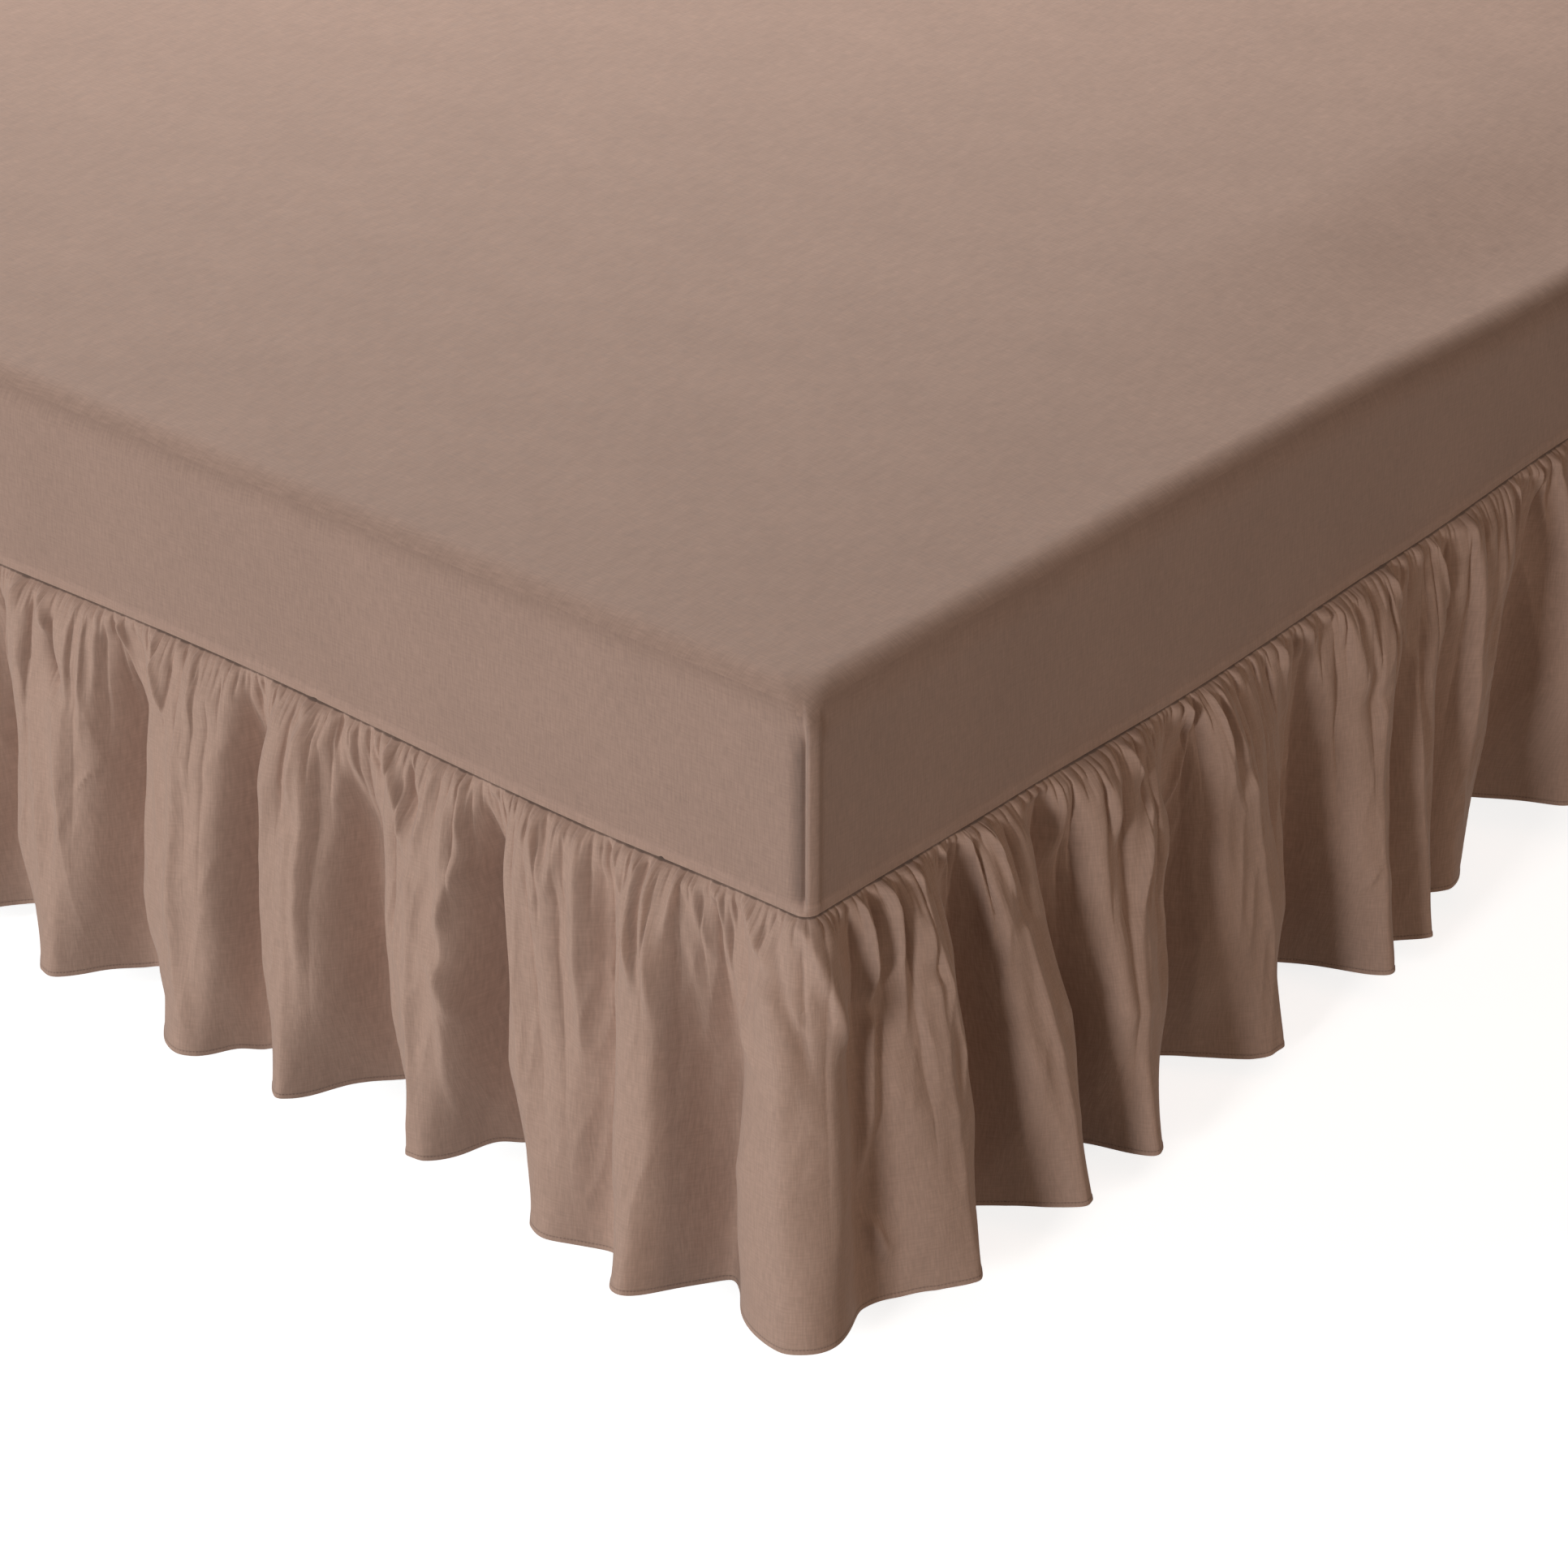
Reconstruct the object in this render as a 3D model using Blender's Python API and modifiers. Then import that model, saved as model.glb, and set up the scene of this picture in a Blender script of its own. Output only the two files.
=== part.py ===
"""A fitted bed skirt on a plain mattress and bed base.

The cover lies over the mattress and its band comes down the sides. A gathered frill is sewn to
the band and hangs to just above the floor. The near corner is at (-x, -y): the long near side
runs from it along +X, and the near end runs from it along +Y. Metres, +Z up, origin on the floor
under the middle of the bed.
"""

import math
from collections import namedtuple

import bmesh
import bpy

# Driving sizes
BED_LENGTH = 2.00
BED_WIDTH = 1.83
SEAM_HEIGHT = 0.412
BAND_HEIGHT = 0.20
FRILL_CLOTH = 0.392
COVER_THICKNESS = 0.0018
FRILL_THICKNESS = 0.0016
TOUCH_GAP = 0.0003

# Cover
TOP_HEIGHT = SEAM_HEIGHT + BAND_HEIGHT
BAND_CORNER = 0.012
TOP_CORNER = 0.034
TOP_EDGE = 0.036
DROOP_REACH = 0.30
STATION_PITCH = 0.15
CORNER_STEPS = 4

# Mattress and base
MATTRESS_SIDE_GAP = 0.0042
MATTRESS_EDGE_CLEARANCE = 0.0025
MATTRESS_LOWER_EDGE = 0.018
MATTRESS_BELOW_SEAM = 0.012
BASE_INSET = 0.065
BASE_EDGE = 0.004

# Frill
ALLOWANCE_UP = 0.008
ALLOWANCE_IN = COVER_THICKNESS + FRILL_THICKNESS / 2 + 2 * TOUCH_GAP
GATHER_STAND = 0.006
GATHER_LENGTH = 0.03
CREST_GROWTH = 0.70
DIP_GROWTH = 1.10
TUCK_DEPTH = 0.09
FAN_AT_HEM = 0.06
ROW_LENGTHS = (-ALLOWANCE_UP, 0.004, 0.030, 0.072, 0.140, 0.245, FRILL_CLOTH)
NEAR_STEPS = 4
FAR_STEPS = 3
FAN_STEPS = 5
FAR_HALF_FOLD = 0.086
SEAM_WAVE = 0.004

Fold = namedtuple("Fold", "at out lean tuck")
Level = namedtuple("Level", "at rise")
Side = namedtuple("Side", "start_x start_y along_x along_y out_x out_y length")

# Crests and dips of the hem in turn, going from the near corner along the near long side.
# at is the distance from the corner, out is how far the hem stands out there, lean is how much
# further from the corner the same line of cloth starts at the seam, and tuck is how far it is
# drawn in a hand's width below the seam.
LONG_SIDE_FOLDS = (
    Fold(at=0.034, out=0.044, lean=0.004, tuck=0.012),
    Fold(at=0.118, out=0.094, lean=0.000, tuck=0.000),
    Fold(at=0.190, out=0.000, lean=-0.010, tuck=0.020),
    Fold(at=0.275, out=0.097, lean=-0.050, tuck=0.000),
    Fold(at=0.325, out=-0.016, lean=-0.020, tuck=0.012),
    Fold(at=0.378, out=0.098, lean=0.045, tuck=-0.004),
    Fold(at=0.480, out=-0.044, lean=0.020, tuck=0.004),
    Fold(at=0.592, out=0.074, lean=-0.030, tuck=0.000),
    Fold(at=0.705, out=-0.042, lean=-0.020, tuck=0.006),
    Fold(at=0.765, out=0.086, lean=0.045, tuck=-0.004),
    Fold(at=0.803, out=0.036, lean=0.045, tuck=0.004),
    Fold(at=0.845, out=0.074, lean=0.040, tuck=0.000),
    Fold(at=0.892, out=0.008, lean=0.040, tuck=0.008),
    Fold(at=0.934, out=0.042, lean=0.070, tuck=-0.008),
    Fold(at=1.070, out=-0.050, lean=0.020, tuck=0.004),
    Fold(at=1.150, out=0.064, lean=0.010, tuck=-0.002),
    Fold(at=1.235, out=-0.020, lean=0.000, tuck=0.012),
)
# The same along the near end.
END_FOLDS = (
    Fold(at=0.072, out=0.016, lean=0.020, tuck=0.016),
    Fold(at=0.125, out=0.108, lean=0.030, tuck=0.000),
    Fold(at=0.182, out=0.048, lean=0.035, tuck=0.006),
    Fold(at=0.242, out=0.078, lean=0.060, tuck=-0.006),
    Fold(at=0.345, out=-0.034, lean=0.010, tuck=0.008),
    Fold(at=0.408, out=0.062, lean=0.010, tuck=-0.004),
    Fold(at=0.500, out=-0.032, lean=0.000, tuck=0.004),
    Fold(at=0.568, out=0.078, lean=0.015, tuck=-0.004),
    Fold(at=0.630, out=0.020, lean=0.010, tuck=0.020),
    Fold(at=0.688, out=0.090, lean=0.040, tuck=0.000),
    Fold(at=0.815, out=-0.016, lean=0.000, tuck=0.016),
    Fold(at=0.892, out=0.064, lean=0.000, tuck=-0.006),
    Fold(at=0.995, out=-0.028, lean=0.000, tuck=0.012),
    Fold(at=1.075, out=0.062, lean=0.000, tuck=-0.002),
    Fold(at=1.160, out=-0.018, lean=0.000, tuck=0.012),
)
CORNER_FOLD = Fold(at=-0.002, out=0.086, lean=0.000, tuck=0.000)
# The folds that go round the hidden corners have two crests each: how far those lie to each side
# of the corner, and how far they stand out.
CornerFold = namedtuple("CornerFold", "half out")
OTHER_CORNER_FOLDS = (
    CornerFold(half=0.030, out=0.078),
    CornerFold(half=0.036, out=0.070),
    CornerFold(half=0.026, out=0.084),
)

# How the seam and the top edge rise and fall along the near long side.
LONG_SEAM = (
    Level(at=0.00, rise=0.000),
    Level(at=0.26, rise=-0.004),
    Level(at=0.53, rise=-0.010),
    Level(at=0.86, rise=-0.002),
    Level(at=1.16, rise=0.010),
    Level(at=1.55, rise=0.002),
    Level(at=BED_LENGTH, rise=0.000),
)
LONG_TOP_EDGE = (
    Level(at=0.00, rise=0.000),
    Level(at=0.45, rise=-0.003),
    Level(at=0.70, rise=-0.007),
    Level(at=1.18, rise=-0.024),
    Level(at=1.60, rise=-0.010),
    Level(at=BED_LENGTH, rise=0.000),
)

HALF_LENGTH = BED_LENGTH / 2
HALF_WIDTH = BED_WIDTH / 2
SIDES = (
    Side(-HALF_LENGTH, -HALF_WIDTH, 1, 0, 0, -1, BED_LENGTH),
    Side(HALF_LENGTH, -HALF_WIDTH, 0, 1, 1, 0, BED_WIDTH),
    Side(HALF_LENGTH, HALF_WIDTH, -1, 0, 0, 1, BED_LENGTH),
    Side(-HALF_LENGTH, HALF_WIDTH, 0, -1, -1, 0, BED_WIDTH),
)
SEAM_LOOP = sum(side.length for side in SIDES)
CORNERS = tuple(sum(side.length for side in SIDES[:count]) for count in range(5))


def smooth(share):
    """0 to 1 with level ends."""
    share = min(max(share, 0.0), 1.0)
    return share * share * (3 - 2 * share)


def level_at(levels, distance):
    """The rise at a distance, eased between the rows of a table."""
    for before, after in zip(levels, levels[1:]):
        if distance <= after.at:
            share = smooth((distance - before.at) / (after.at - before.at))
            return before.rise + (after.rise - before.rise) * share
    return levels[-1].rise


def side_at(travel):
    """The side that a distance round the seam falls on, and the distance along that side."""
    travel %= SEAM_LOOP
    for index, side in enumerate(SIDES):
        if travel < side.length:
            return index, travel
        travel -= side.length
    return 0, 0.0


def seam_rise(travel):
    index, distance = side_at(travel)
    if index == 0:
        return level_at(LONG_SEAM, distance)
    length = SIDES[index].length
    ends = smooth(distance / 0.25) * smooth((length - distance) / 0.25)
    return SEAM_WAVE * ends * math.sin(7.3 * distance + 1.9 * index)


def top_edge_rise(travel):
    index, distance = side_at(travel)
    if index == 0:
        return level_at(LONG_TOP_EDGE, distance)
    length = SIDES[index].length
    return -SEAM_WAVE * math.sin(math.pi * distance / length) ** 2


def corner_turn(travel, reach):
    """How far the outward direction has turned from the side's own, in radians."""
    index, distance = side_at(travel)
    length = SIDES[index].length
    for from_corner, way in ((distance, -1), (length - distance, 1)):
        if from_corner < reach:
            share = from_corner / reach
            return way * (1 - share * (1.5 - 0.5 * share * share)) * math.pi / 4
    return 0.0


def seam_plan(travel, out, reach):
    """A point of the plan, out from the seam line, whose corners have the band's radius."""
    index, distance = side_at(travel)
    side = SIDES[index]
    x = side.start_x + side.along_x * distance
    y = side.start_y + side.along_y * distance
    for from_corner, way in ((distance, -1), (side.length - distance, 1)):
        if from_corner < BAND_CORNER:
            angle = way * (1 - from_corner / BAND_CORNER) * math.pi / 4
            forward = way * (BAND_CORNER * math.sin(abs(angle)) - (BAND_CORNER - from_corner))
            inward = BAND_CORNER * (1 - math.cos(angle))
            x += side.along_x * forward - side.out_x * inward
            y += side.along_y * forward - side.out_y * inward
    turn = corner_turn(travel, reach)
    out_x = side.out_x * math.cos(turn) + side.along_x * math.sin(turn)
    out_y = side.out_y * math.cos(turn) + side.along_y * math.sin(turn)
    return x + out_x * out, y + out_y * out


def far_folds(start, end):
    """Crests and dips, as uneven as the near ones, that fill the hem from start to end."""
    count = 2 * round((end - start) / (2 * FAR_HALF_FOLD))
    steps = [1 + 0.26 * math.sin(2.37 * i + 0.8) + 0.12 * math.sin(5.1 * i) for i in range(count)]
    scale = (end - start) / sum(steps)
    folds = []
    travel = start
    for i, step in enumerate(steps[:-1]):
        travel += step * scale
        crest = i % 2 == 0
        if crest:
            out = 0.072 + 0.018 * math.sin(1.71 * i + 0.5)
            tuck = -0.003 + 0.003 * math.sin(2.2 * i)
        else:
            out = -0.010 + 0.030 * math.sin(2.93 * i + 1.1)
            tuck = 0.013 + 0.007 * math.sin(3.7 * i)
        lean = 0.026 * math.sin(1.3 * i + 2.0)
        folds.append(Fold(travel, out, lean, tuck))
    return folds


def round_far_corners(folds):
    """The crest nearest each hidden corner becomes a broad fold that goes round it."""
    for corner, shape in zip(CORNERS[1:4], OTHER_CORNER_FOLDS):
        nearest = min(folds[::2], key=lambda fold: abs(fold.at - corner))
        broad = [Fold(corner + way * shape.half, shape.out, 0.0, 0.0) for way in (-1, 1)]
        room = 2 * shape.half
        kept = [fold for fold in folds if fold is nearest or abs(fold.at - corner) > room]
        place = kept.index(nearest)
        folds = kept[:place] + broad + kept[place + 1 :]
    return folds


def hem_folds():
    """All crests and dips in order round the hem, with the travel round the seam as at."""
    near = list(LONG_SIDE_FOLDS)
    end = [f._replace(at=SEAM_LOOP - f.at, lean=-f.lean) for f in reversed(END_FOLDS)]
    far = round_far_corners(far_folds(near[-1].at, end[0].at))
    return near, far, end


def steps_between(before, after, near_limits):
    """How many columns a stretch between two extremes takes: more round a corner."""
    middle = (before.at + after.at) / 2
    if min(abs(middle - corner) for corner in CORNERS) < FAN_AT_HEM:
        return FAN_STEPS
    hidden = near_limits[0] < middle < near_limits[1]
    return FAR_STEPS if hidden else NEAR_STEPS


def frill_columns():
    """Each line of cloth, stepped between the crests and dips, with its own values."""
    near, far, end = hem_folds()
    loop = [CORNER_FOLD] + near + far + end + [CORNER_FOLD._replace(at=SEAM_LOOP + CORNER_FOLD.at)]
    near_limits = (near[-1].at, end[0].at)
    columns = []
    for before, after in zip(loop, loop[1:]):
        count = steps_between(before, after, near_limits)
        for step in range(count):
            share = step / count
            eased = (1 - math.cos(math.pi * share)) / 2
            at = before.at + (after.at - before.at) * share
            values = [b + (a - b) * eased for b, a in zip(before[1:], after[1:])]
            columns.append(Fold(at, *values))
    return columns


def frill_out(column, length):
    """How far a line of cloth stands out at a length below the seam."""
    if length <= ROW_LENGTHS[1]:
        return -ALLOWANCE_IN
    share = length / FRILL_CLOTH
    stand = GATHER_STAND * (1 - math.exp(-length / GATHER_LENGTH))
    growth = CREST_GROWTH if column.out > 0 else DIP_GROWTH
    depth = length / TUCK_DEPTH
    drawn_in = column.tuck * depth * math.exp(1 - depth)
    return (stand - ALLOWANCE_IN) * (1 - share) + column.out * share**growth - drawn_in


def frill_line(column):
    """The points of one line of cloth from its allowance down to the hem."""
    points = []
    height = SEAM_HEIGHT + seam_rise(column.at + column.lean) + ALLOWANCE_UP
    before_out = -ALLOWANCE_IN
    before_length = ROW_LENGTHS[0]
    for length in ROW_LENGTHS:
        share = min(max(length / FRILL_CLOTH, 0.0), 1.0)
        out = frill_out(column, length)
        run = length - before_length
        height -= math.sqrt(max(run * run - (out - before_out) ** 2, 0.0))
        travel = column.at + column.lean * (1 - share) ** 1.5
        reach = BAND_CORNER + (FAN_AT_HEM - BAND_CORNER) * min(1.0, 3 * share)
        x, y = seam_plan(travel, out, reach)
        points.append((x, y, height))
        before_out = out
        before_length = length
    return points


def block_stations():
    """(side, share of the straight part) or (side, corner angle) for the cover's columns."""
    stations = []
    for index, side in enumerate(SIDES):
        count = round(side.length / STATION_PITCH)
        stations += [(index, "side", step / count) for step in range(count + 1)]
        angles = [step / CORNER_STEPS for step in range(1, CORNER_STEPS)]
        stations += [(index, "corner", share * math.pi / 2) for share in angles]
    return stations


def block_ring(inset, corner, height_at):
    """A rounded rectangle of the bed, inset from the seam line, as points in order."""
    points = []
    travel_start = 0.0
    last_index = 0
    for index, kind, value in block_stations():
        if index != last_index:
            travel_start += SIDES[last_index].length
            last_index = index
        side = SIDES[index]
        straight = side.length - 2 * inset - 2 * corner
        if kind == "side":
            along = inset + corner + value * straight
            depth = inset
            travel = travel_start + value * side.length
        else:
            along = side.length - inset - corner + corner * math.sin(value)
            depth = inset + corner * (1 - math.cos(value))
            travel = travel_start + side.length
        x = side.start_x + side.along_x * along - side.out_x * depth
        y = side.start_y + side.along_y * along - side.out_y * depth
        points.append((x, y, height_at(travel)))
    return points


def top_rings(inset, lower, corner, top_corner, edge, steps):
    """The rings of a soft top edge and of the top inside it, which is flat past DROOP_REACH."""
    rings = []
    for step in range(steps + 1):
        angle = step / steps * math.pi / 2
        ring_corner = corner + (top_corner - corner) * smooth(step / steps)
        down = edge * (1 - math.sin(angle)) + lower
        rings.append(
            block_ring(
                inset + edge * (1 - math.cos(angle)),
                ring_corner,
                lambda travel, down=down: TOP_HEIGHT - down + top_edge_rise(travel),
            )
        )
    first = inset + edge
    for step in (1, 2, 3):
        share = step / 3
        depth = first + (DROOP_REACH - first) * share
        left = 1 - smooth(share)
        rings.append(
            block_ring(
                depth,
                top_corner * (1 - 0.8 * share),
                lambda travel, left=left: TOP_HEIGHT - lower + left * top_edge_rise(travel),
            )
        )
    return rings


def loft(name, sections, fill_first, fill_last):
    """An object of quads between closed sections of equal count, with its faces pointing out."""
    mesh = bmesh.new()
    rows = [[mesh.verts.new(point) for point in section] for section in sections]
    count = len(rows[0])
    for lower, upper in zip(rows, rows[1:]):
        for i in range(count):
            j = (i + 1) % count
            mesh.faces.new((lower[i], lower[j], upper[j], upper[i]))
    if fill_first:
        mesh.faces.new(list(reversed(rows[0])))
    if fill_last:
        mesh.faces.new(rows[-1])
    mesh.normal_update()
    data = bpy.data.meshes.new(name)
    mesh.to_mesh(data)
    mesh.free()
    data.shade_smooth()
    return bpy.data.objects.new(name, data)


def surface(name, colour, roughness, sheen=0.0):
    material = bpy.data.materials.new(name)
    material.use_nodes = True
    shader = material.node_tree.nodes["Principled BSDF"]
    shader.inputs["Base Color"].default_value = (*colour, 1.0)
    shader.inputs["Roughness"].default_value = roughness
    shader.inputs["Metallic"].default_value = 0.0
    shader.inputs["Sheen Weight"].default_value = sheen
    return material


def add_part(obj, collection, material):
    collection.objects.link(obj)
    obj.data.materials.append(material)


def add_thickness(obj, thickness, offset):
    solid = obj.modifiers.new("Cloth thickness", "SOLIDIFY")
    solid.thickness = thickness
    solid.offset = offset


def make_base(collection):
    """A plain platform that stands flat on the floor."""
    top = SEAM_HEIGHT - MATTRESS_BELOW_SEAM - TOUCH_GAP
    bpy.ops.mesh.primitive_cube_add(size=1, location=(0, 0, top / 2))
    obj = bpy.context.active_object
    obj.name = "bed_base"
    obj.scale = (BED_LENGTH - 2 * BASE_INSET, BED_WIDTH - 2 * BASE_INSET, top)
    bpy.ops.object.transform_apply(location=False, rotation=False, scale=True)
    bevel = obj.modifiers.new("Eased edges", "BEVEL")
    bevel.width = BASE_EDGE
    bevel.segments = 2
    for holder in list(obj.users_collection):
        holder.objects.unlink(obj)
    add_part(obj, collection, surface("base_wood", (0.42, 0.28, 0.16), 0.6))


def make_mattress(collection):
    """A plain mattress that fills the cover, with soft edges."""
    bottom = SEAM_HEIGHT - MATTRESS_BELOW_SEAM
    inset = COVER_THICKNESS + MATTRESS_SIDE_GAP
    corner = TOP_CORNER
    edge = MATTRESS_LOWER_EDGE
    rings = []
    for step in range(3):
        angle = step / 2 * math.pi / 2
        height = bottom + edge * (1 - math.cos(angle))
        depth = inset + edge * (1 - math.sin(angle))
        rings.append(block_ring(depth, corner, lambda travel, height=height: height))
    lower = COVER_THICKNESS + TOUCH_GAP
    rings += top_rings(inset, lower, corner, TOP_CORNER, TOP_EDGE + MATTRESS_EDGE_CLEARANCE, 4)
    obj = loft("mattress", rings, True, True)
    add_part(obj, collection, surface("mattress_cloth", (0.78, 0.76, 0.72), 0.9))


def make_cover(collection, cloth):
    """The top and its band, one cloth with sewn corners, over the mattress."""
    rings = [block_ring(0.0, BAND_CORNER, lambda travel: SEAM_HEIGHT + seam_rise(travel))]
    rings += top_rings(0.0, 0.0, BAND_CORNER, TOP_CORNER, TOP_EDGE, 5)
    obj = loft("cover", rings, False, True)
    add_part(obj, collection, cloth)
    add_thickness(obj, COVER_THICKNESS, -1.0)


def make_frill(collection, cloth):
    """One gathered loop of cloth that hangs from the band in uneven folds."""
    lines = [frill_line(column) for column in frill_columns()]
    sections = [list(row) for row in zip(*lines)]
    sections.reverse()
    obj = loft("frill", sections, False, False)
    add_part(obj, collection, cloth)
    add_thickness(obj, FRILL_THICKNESS, 0.0)


def main():
    for obj in list(bpy.data.objects):
        bpy.data.objects.remove(obj)
    collection = bpy.data.collections.new("bed_skirt")
    bpy.context.scene.collection.children.link(collection)
    cloth = surface("skirt_cloth", (0.355, 0.235, 0.186), 0.85, 0.15)
    make_base(collection)
    make_mattress(collection)
    make_cover(collection, cloth)
    make_frill(collection, cloth)


main()
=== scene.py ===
"""Looks of a fitted bed skirt: cover, gathered frill, cloth materials, floor, light and camera.

Metres, +Z up, origin on the floor under the middle of the bed. The near corner is at (-x, -y).
Distances along the frill are counted from that corner: positive along the long near side and
negative along the near end. Lengths down the frill are counted from the seam.
"""

import math
import random
from collections import namedtuple

import bpy
import numpy as np
from mathutils import Matrix, Vector


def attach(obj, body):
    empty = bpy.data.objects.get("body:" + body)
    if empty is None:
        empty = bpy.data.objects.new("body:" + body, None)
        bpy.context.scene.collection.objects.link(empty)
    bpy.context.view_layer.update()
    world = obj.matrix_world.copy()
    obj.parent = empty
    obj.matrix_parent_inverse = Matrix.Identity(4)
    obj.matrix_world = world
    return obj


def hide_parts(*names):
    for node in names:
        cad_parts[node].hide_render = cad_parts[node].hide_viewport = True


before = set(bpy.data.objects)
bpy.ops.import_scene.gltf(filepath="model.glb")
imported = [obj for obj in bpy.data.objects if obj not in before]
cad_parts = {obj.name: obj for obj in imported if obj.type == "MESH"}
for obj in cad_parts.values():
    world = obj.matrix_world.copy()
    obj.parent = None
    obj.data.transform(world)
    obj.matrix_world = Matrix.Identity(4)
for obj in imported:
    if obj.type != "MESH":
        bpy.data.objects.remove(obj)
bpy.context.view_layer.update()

# Sizes that the solids have too
BED_LENGTH = 2.00
BED_WIDTH = 1.83
SEAM_HEIGHT = 0.412
BAND_HEIGHT = 0.20
TOP_HEIGHT = SEAM_HEIGHT + BAND_HEIGHT
FRILL_CLOTH = 0.392
BAND_CORNER = 0.012
TOP_CORNER = 0.034
TOP_EDGE = 0.036
DROOP_REACH = 0.30
DIP_GROWTH = 1.10
TUCK_DEPTH = 0.09
FAN_AT_HEM = 0.06
FAR_HALF_FOLD = 0.086
SEAM_WAVE = 0.004
SEAM_WAVE_PACE = 7.3
SEAM_WAVE_SHIFT = 1.9
SEAM_WAVE_ENDS = 0.25
LEAN_CURVE = 1.5

# Crests of this cloth come out of the seam more evenly than those of the solids.
CREST_GROWTH = 0.86

Fold = namedtuple("Fold", "at out lean tuck")
CornerFold = namedtuple("CornerFold", "half out")
Level = namedtuple("Level", "at rise")
Wave = namedtuple("Wave", "middle swing pace start")

# Crests and dips of the hem in turn from the near corner, as in the solids: at is where they are,
# out how far the hem stands out, lean how much further the same line of cloth starts at the seam,
# and tuck how far it is drawn in a hand's width below the seam.
LONG_SIDE_FOLDS = (
    Fold(0.034, 0.044, 0.004, 0.012),
    Fold(0.118, 0.094, 0.000, 0.000),
    Fold(0.190, 0.000, -0.010, 0.020),
    Fold(0.275, 0.097, -0.050, 0.000),
    Fold(0.325, -0.016, -0.020, 0.012),
    Fold(0.378, 0.098, 0.045, -0.004),
    Fold(0.480, -0.044, 0.020, 0.004),
    Fold(0.592, 0.074, -0.030, 0.000),
    Fold(0.705, -0.042, -0.020, 0.006),
    Fold(0.765, 0.086, 0.045, -0.004),
    Fold(0.803, 0.036, 0.045, 0.004),
    Fold(0.845, 0.074, 0.040, 0.000),
    Fold(0.892, 0.008, 0.040, 0.008),
    Fold(0.934, 0.042, 0.070, -0.008),
    Fold(1.070, -0.050, 0.020, 0.004),
    Fold(1.150, 0.064, 0.010, -0.002),
    Fold(1.235, -0.020, 0.000, 0.012),
)
END_FOLDS = (
    Fold(0.072, 0.016, 0.020, 0.016),
    Fold(0.125, 0.108, 0.030, 0.000),
    Fold(0.182, 0.048, 0.035, 0.006),
    Fold(0.242, 0.078, 0.060, -0.006),
    Fold(0.345, -0.034, 0.010, 0.008),
    Fold(0.408, 0.062, 0.010, -0.004),
    Fold(0.500, -0.032, 0.000, 0.004),
    Fold(0.568, 0.078, 0.015, -0.004),
    Fold(0.630, 0.020, 0.010, 0.020),
    Fold(0.688, 0.090, 0.040, 0.000),
    Fold(0.815, -0.016, 0.000, 0.016),
    Fold(0.892, 0.064, 0.000, -0.006),
    Fold(0.995, -0.028, 0.000, 0.012),
    Fold(1.075, 0.062, 0.000, -0.002),
    Fold(1.160, -0.018, 0.000, 0.012),
)
CORNER_FOLD = Fold(at=-0.002, out=0.086, lean=0.000, tuck=0.000)
OTHER_CORNER_FOLDS = (
    CornerFold(half=0.030, out=0.078),
    CornerFold(half=0.036, out=0.070),
    CornerFold(half=0.026, out=0.084),
)

# Sizes of the hidden folds, from fold to fold
FAR_CREST_OUT = Wave(0.072, 0.018, 1.71, 0.5)
FAR_CREST_TUCK = Wave(-0.003, 0.003, 2.2, 0.0)
FAR_DIP_OUT = Wave(-0.010, 0.030, 2.93, 1.1)
FAR_DIP_TUCK = Wave(0.013, 0.007, 3.7, 0.0)
FAR_LEAN = Wave(0.0, 0.026, 1.3, 2.0)
FAR_STEP = Wave(1.0, 0.26, 2.37, 0.8)
FAR_STEP_MORE = Wave(0.0, 0.12, 5.1, 0.0)

# How far the seam and the top edge of the near long side stand above their usual height
LONG_SEAM = (
    Level(0.00, 0.000),
    Level(0.26, -0.004),
    Level(0.53, -0.010),
    Level(0.86, -0.002),
    Level(1.16, 0.010),
    Level(1.55, 0.002),
    Level(BED_LENGTH, 0.000),
)
LONG_TOP_EDGE = (
    Level(0.00, 0.000),
    Level(0.45, -0.003),
    Level(0.70, -0.007),
    Level(1.18, -0.024),
    Level(1.60, -0.010),
    Level(BED_LENGTH, 0.000),
)

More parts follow.
